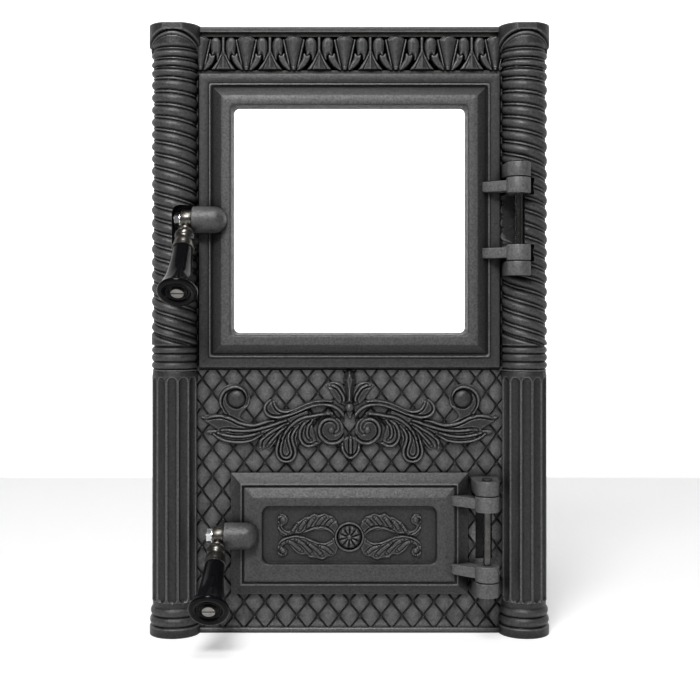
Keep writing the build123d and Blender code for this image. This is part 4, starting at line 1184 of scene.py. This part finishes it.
# The panel's left half, as drawn. The first lines are its stems.
STEMS = 5
PANEL_RISE = 8.0
PANEL_LEAVES = [
    [(282, 531), (285, 536), (291, 538.5), (297, 535.5), (303, 535), (312, 533), (322, 531.5),
     (331, 532.5), (337, 538), (341, 530), (339.5, 523), (336, 518), (330.5, 516), (327, 514.6),
     (321.5, 516), (317, 514.4), (312.5, 517.5), (308.5, 518.4), (304.6, 521.5), (300.5, 523.4),
     (297.6, 527.4), (293.5, 532), (288.5, 531.5), (286.5, 527.5), (291, 524), (291.4, 519),
     (287.4, 515.4), (282.5, 516), (279.6, 520.5), (280.4, 526)],
    [(281, 549), (283.5, 542.5), (288, 539), (294, 537.5), (302, 536.5), (309, 538), (316, 541.5),
     (324, 544.6), (331, 543.5), (337, 539), (340.5, 546), (339.6, 553), (336.5, 557.6),
     (331, 558.6), (325, 561.5), (319, 560), (312.5, 559.4), (310, 556.6), (303.5, 556),
     (297.5, 552.4), (294.5, 548), (290, 545.5), (286, 548.5), (289.5, 550), (291.4, 554),
     (289, 558), (284, 558.6), (280.4, 555)],
]
PANEL_EYE = [(308, 538), (316, 533.5), (324, 531.5), (331, 534), (334.5, 537.5), (331, 541.5),
    (325, 543.5), (317, 541.5)]
PANEL_LINES = [
    [(283.5, 524), (281.5, 521), (283, 518), (286.5, 517.5)],
    [(282, 527), (284, 531), (288, 534.5), (292, 536.5)],
    [(284, 547), (281.5, 551), (283, 555), (287, 557)],
    [(282, 548), (284, 543.5), (288, 540.5), (293, 538.5), (300, 537.5), (308, 539), (315, 542),
     (322, 544.5), (328, 545), (334, 542.5)],
    [(304, 536.5), (313, 531), (323, 528.5), (331, 530.5), (337, 536)],
    [(296, 533), (297.5, 529.5), (299.5, 526.5)],
    [(303, 531), (306, 525.5), (309, 522.5)],
    [(311, 528.5), (314, 522.5), (317, 519.5)],
    [(320, 526.5), (324, 521), (327, 518.5)],
    [(329, 527), (333, 522.5), (336, 521)],
    [(291, 543), (296, 544.5), (300, 548), (305, 552.5)],
    [(300, 541.5), (306, 545), (311, 550), (315, 555)],
    [(311, 545), (317, 549), (322, 553.5), (325, 557)],
    [(323, 547.5), (329, 550), (333, 553.5), (335, 555)],
]


def medallion():
    """Rosette between leaves on the ash door's panel."""
    r = Relief((-62.0, 62.0), (62.5, 112.0), 0.36, -0.6)
    middle_x, middle_y, larger = 351.5, 536.2, 1.012

    def place(points, flip):
        if flip:
            points = [(2 * middle_x - x, y) for x, y in points]
        return [((x - middle_x) / DRAWN_X / larger,
                 DOORS["lower"]["z"] - (y - middle_y) / DRAWN_Z / larger) for x, y in points]

    for flip in (False, True):
        for outline in PANEL_LEAVES:
            r.body(place(outline, flip), 2.3, 1.6, foot=-0.6)
        for k, line in enumerate(PANEL_LINES):
            line = place(line, flip)
            half, rise = (1.05, 1.7) if k < STEMS else (1.75, 1.9)
            r.groove(line, half + 0.9, 0.9, least=0.2)
            r.ridge(line, half, rise, least=-0.3)
        d = r.inside(smooth_line(place(PANEL_EYE, flip), 5, True))
        r.h = np.where(d > 0, np.minimum(r.h, 0.7 - 0.4 * unit(d / 2)), r.h)
        for point, radius in (((287, 521), 3.4), ((287, 552.5), 2.8)):
            r.dome(*place([point], flip)[0], radius, 0.0, 3.4)
    cx, cz = place([(351.5, 538.5)], False)[0]
    dx, dz = r.gx - cx, r.gz - cz
    d = np.hypot(dx, dz)
    petals = np.abs(np.cos(np.arctan2(dz, dx) * 5 + 0.3))
    disc = 2.2 * half_circle((d - 12.0) / 1.2)
    flower = (1.3 + 2.3 * petals ** 0.6) * unit((10.2 - d) / 2.4) ** 0.5
    flower *= 0.5 + 0.5 * unit((d - 2.0) / 3.0)
    core = np.maximum(3.6 * half_circle(d / 2.8), -0.1)
    r.h = np.where(d < 13.2, np.maximum(np.maximum(disc, flower), core), r.h)
    relief_piece("rosette_and_leaves", r, r.shown(-0.55), "ash_door", "lower_door",
                 base=PANEL_RISE)


# Handles

def handles():
    """Lever with eye, neck and latch nose, then ferrule and grip, turned about its line."""
    for door, d in DOORS.items():
        x = d["left"] - BOSS_GAP - EYE_HALF

        def placed(shape):
            return moved(leaning(shape, d["lean"]), x, -BOSS_RISE, d["z"])

        neck = [(0, 0), (4.7, 0.5), (4.6, 6), (4.4, 9), (4.7, 11.6), (5.6, 12.4), (6.4, 12.9),
            (6.7, 13.7), (6.4, 14.6), (5.7, 15.2), (5.6, 15.9), (6.4, 16.6), (7.9, 17.3),
            (8.6, 18.6), (8.8, 20.2), (8.5, 21.8), (7.7, 23.0), (7.1, 23.8), (7.0, 24.6),
            (7.6, 25.6), (8.3, 27.0), (8.6, 28.8), (8.5, 31.0), (8.2, 33.0), (3.2, 33.05),
            (3.2, 79.0), (0, 79.0)]
        eye = [(0, -EYE_HALF), (7.9, -EYE_HALF), (8.5, -4.6), (8.8, -4.0), (8.8, 4.0),
               (8.5, 4.6), (7.9, EYE_HALF), (0, EYE_HALF)]
        eye = moved(along_x(lathe(eye, 72)), x, -BOSS_RISE, d["z"])
        nose = arc(0, 0, NOSE_R, NOSE_R, range(-30, 31, 5)) + [(0, 5), (0, -5)]
        points, faces = prism(nose, -2.0, 2.0)
        nose = [(x + pz, px - BOSS_RISE, d["z"] + py) for px, py, pz in points], faces
        handle_part(door, "_lever", joined([placed(lathe(neck)), eye, nose]), LEVER,
                    "lever_steel")
        ring = [(0, 33.0), (9.2, 33.0), (9.6, 33.5), (9.6, 35.5), (9.2, 36.0), (0, 36.0)]
        handle_part(door, "_ferrule", placed(lathe(ring, 84)), LEVER, "lever_steel")
        side = smooth_line([(8.6, 36.0), (8.75, 42), (9.2, 50), (10.2, 60), (11.9, 69.5),
                            (14.4, 77.5), (16.4, 82.0)], 6).tolist()
        grip = [(0, 36.0)] + side + [(16.9, 83.0), (16.75, 84.0), (16.3, 84.9), (15.5, 85.6),
                                     (14.5, 85.95), (13.4, 86.0), (12.4, 85.75), (11.5, 85.2),
                                     (10.8, 84.3), (10.3, 83.3), (9.9, 83.0), (8.9, 83.05),
                                     (8.5, 83.6), (7.8, 83.9), (7.1, 83.6), (6.7, 83.05),
                                     (0, 83.0)]
        handle_part(door, "_grip", placed(lathe(grip, 96)), GRIP, "black_grip", 40.0)


# Kept solids

def finish_kept():
    looks = {"glass_pane": GLASS, "glass_gasket": ROPE, "glass_clips": CLIP,
             "glass_clip_screws": ZINC}
    for door in DOORS:
        looks[door + "_door_rope"] = ROPE
        looks[door + "_hinge_pin"] = PIN
        looks[door + "_handle_end_screw"] = SCREW
        looks[door + "_handle_stud"] = PIN
        looks[door + "_handle_washer"] = ZINC
        looks[door + "_handle_nut"] = ZINC
    for name, look in looks.items():
        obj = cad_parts[name]
        for place in obj.material_slots:
            place.material = look


# Studio

def backdrop_material(name, shade, glow):
    """Pale paint that glows to the eye and through glass, and less so in gloss."""
    mat, tree, shader = nodes_of(name)
    shader.inputs["Base Color"].default_value = (shade, shade, shade, 1.0)
    shader.inputs["Roughness"].default_value = 0.9
    shader.inputs["Specular IOR Level"].default_value = 0.1
    path = tree.nodes.new("ShaderNodeLightPath")
    total = path.outputs["Is Camera Ray"]
    for output, share in (("Is Glossy Ray", 0.4), ("Is Transmission Ray", 1.0)):
        add = tree.nodes.new("ShaderNodeMath")
        add.operation = "MULTIPLY_ADD"
        tree.links.new(path.outputs[output], add.inputs[0])
        add.inputs[1].default_value = share
        tree.links.new(total, add.inputs[2])
        total = add.outputs[0]
    scale = tree.nodes.new("ShaderNodeMath")
    scale.operation = "MULTIPLY"
    scale.inputs[1].default_value = glow
    tree.links.new(total, scale.inputs[0])
    shader.inputs["Emission Color"].default_value = (1.0, 1.0, 1.0, 1.0)
    tree.links.new(scale.outputs[0], shader.inputs["Emission Strength"])
    return mat


def sheet(name, points, material):
    obj = bare(name, points, [(0, 1, 2, 3)])
    obj.data.materials.append(material)


def studio():
    reach, back, top = 4000, 900, 3000
    sheet("floor", [(-reach, -reach, 0), (reach, -reach, 0), (reach, reach, 0),
                    (-reach, reach, 0)], backdrop_material("floor_paint", 0.82, 0.45))
    sheet("backdrop", [(-reach, back, 0), (reach, back, 0), (reach, back, top),
                       (-reach, back, top)], backdrop_material("backdrop_paint", 0.85, 1.0))
    lamp("key", (-0.28, -1.30, 1.45), 0.6, 22.0)
    lamp("top", (-0.1, -0.60, 1.60), 0.5, 6.0)
    world = bpy.data.worlds.new("studio")
    bpy.context.scene.world = world
    world.use_nodes = True
    sky = world.node_tree.nodes["Background"]
    sky.inputs["Color"].default_value = (1.0, 1.0, 1.0, 1.0)
    sky.inputs["Strength"].default_value = 0.09


def lamp(name, place, size, power):
    """A round lamp that faces the middle of the stove front."""
    data = bpy.data.lights.new(name, "AREA")
    data.shape = "DISK"
    data.size = size
    data.energy = power
    obj = linked(name, data)
    obj.location = place
    way = Vector((0.0, 0.0, 0.27)) - obj.location
    obj.rotation_euler = way.to_track_quat("-Z", "Y").to_euler()


def camera():
    """Straight from the front, with the lens's axis lowered by a shift."""
    sensor, distance, seen = 36.0, 1.0, 0.700 / 1.14
    data = bpy.data.cameras.new("camera")
    data.sensor_width = sensor
    data.lens = sensor * distance / seen
    data.shift_y = -0.064
    obj = linked("camera", data)
    obj.location = (0.0005, -distance, 0.2865)
    obj.rotation_euler = (math.radians(90), 0, 0)
    bpy.context.scene.camera = obj
    bpy.context.scene.view_settings.view_transform = "Standard"


camera()
studio()
columns()
plate()
collars()
lattice()
rails()
frame_lugs()
frieze()
scroll()
upper_door()
lower_door()
handles()
finish_kept()
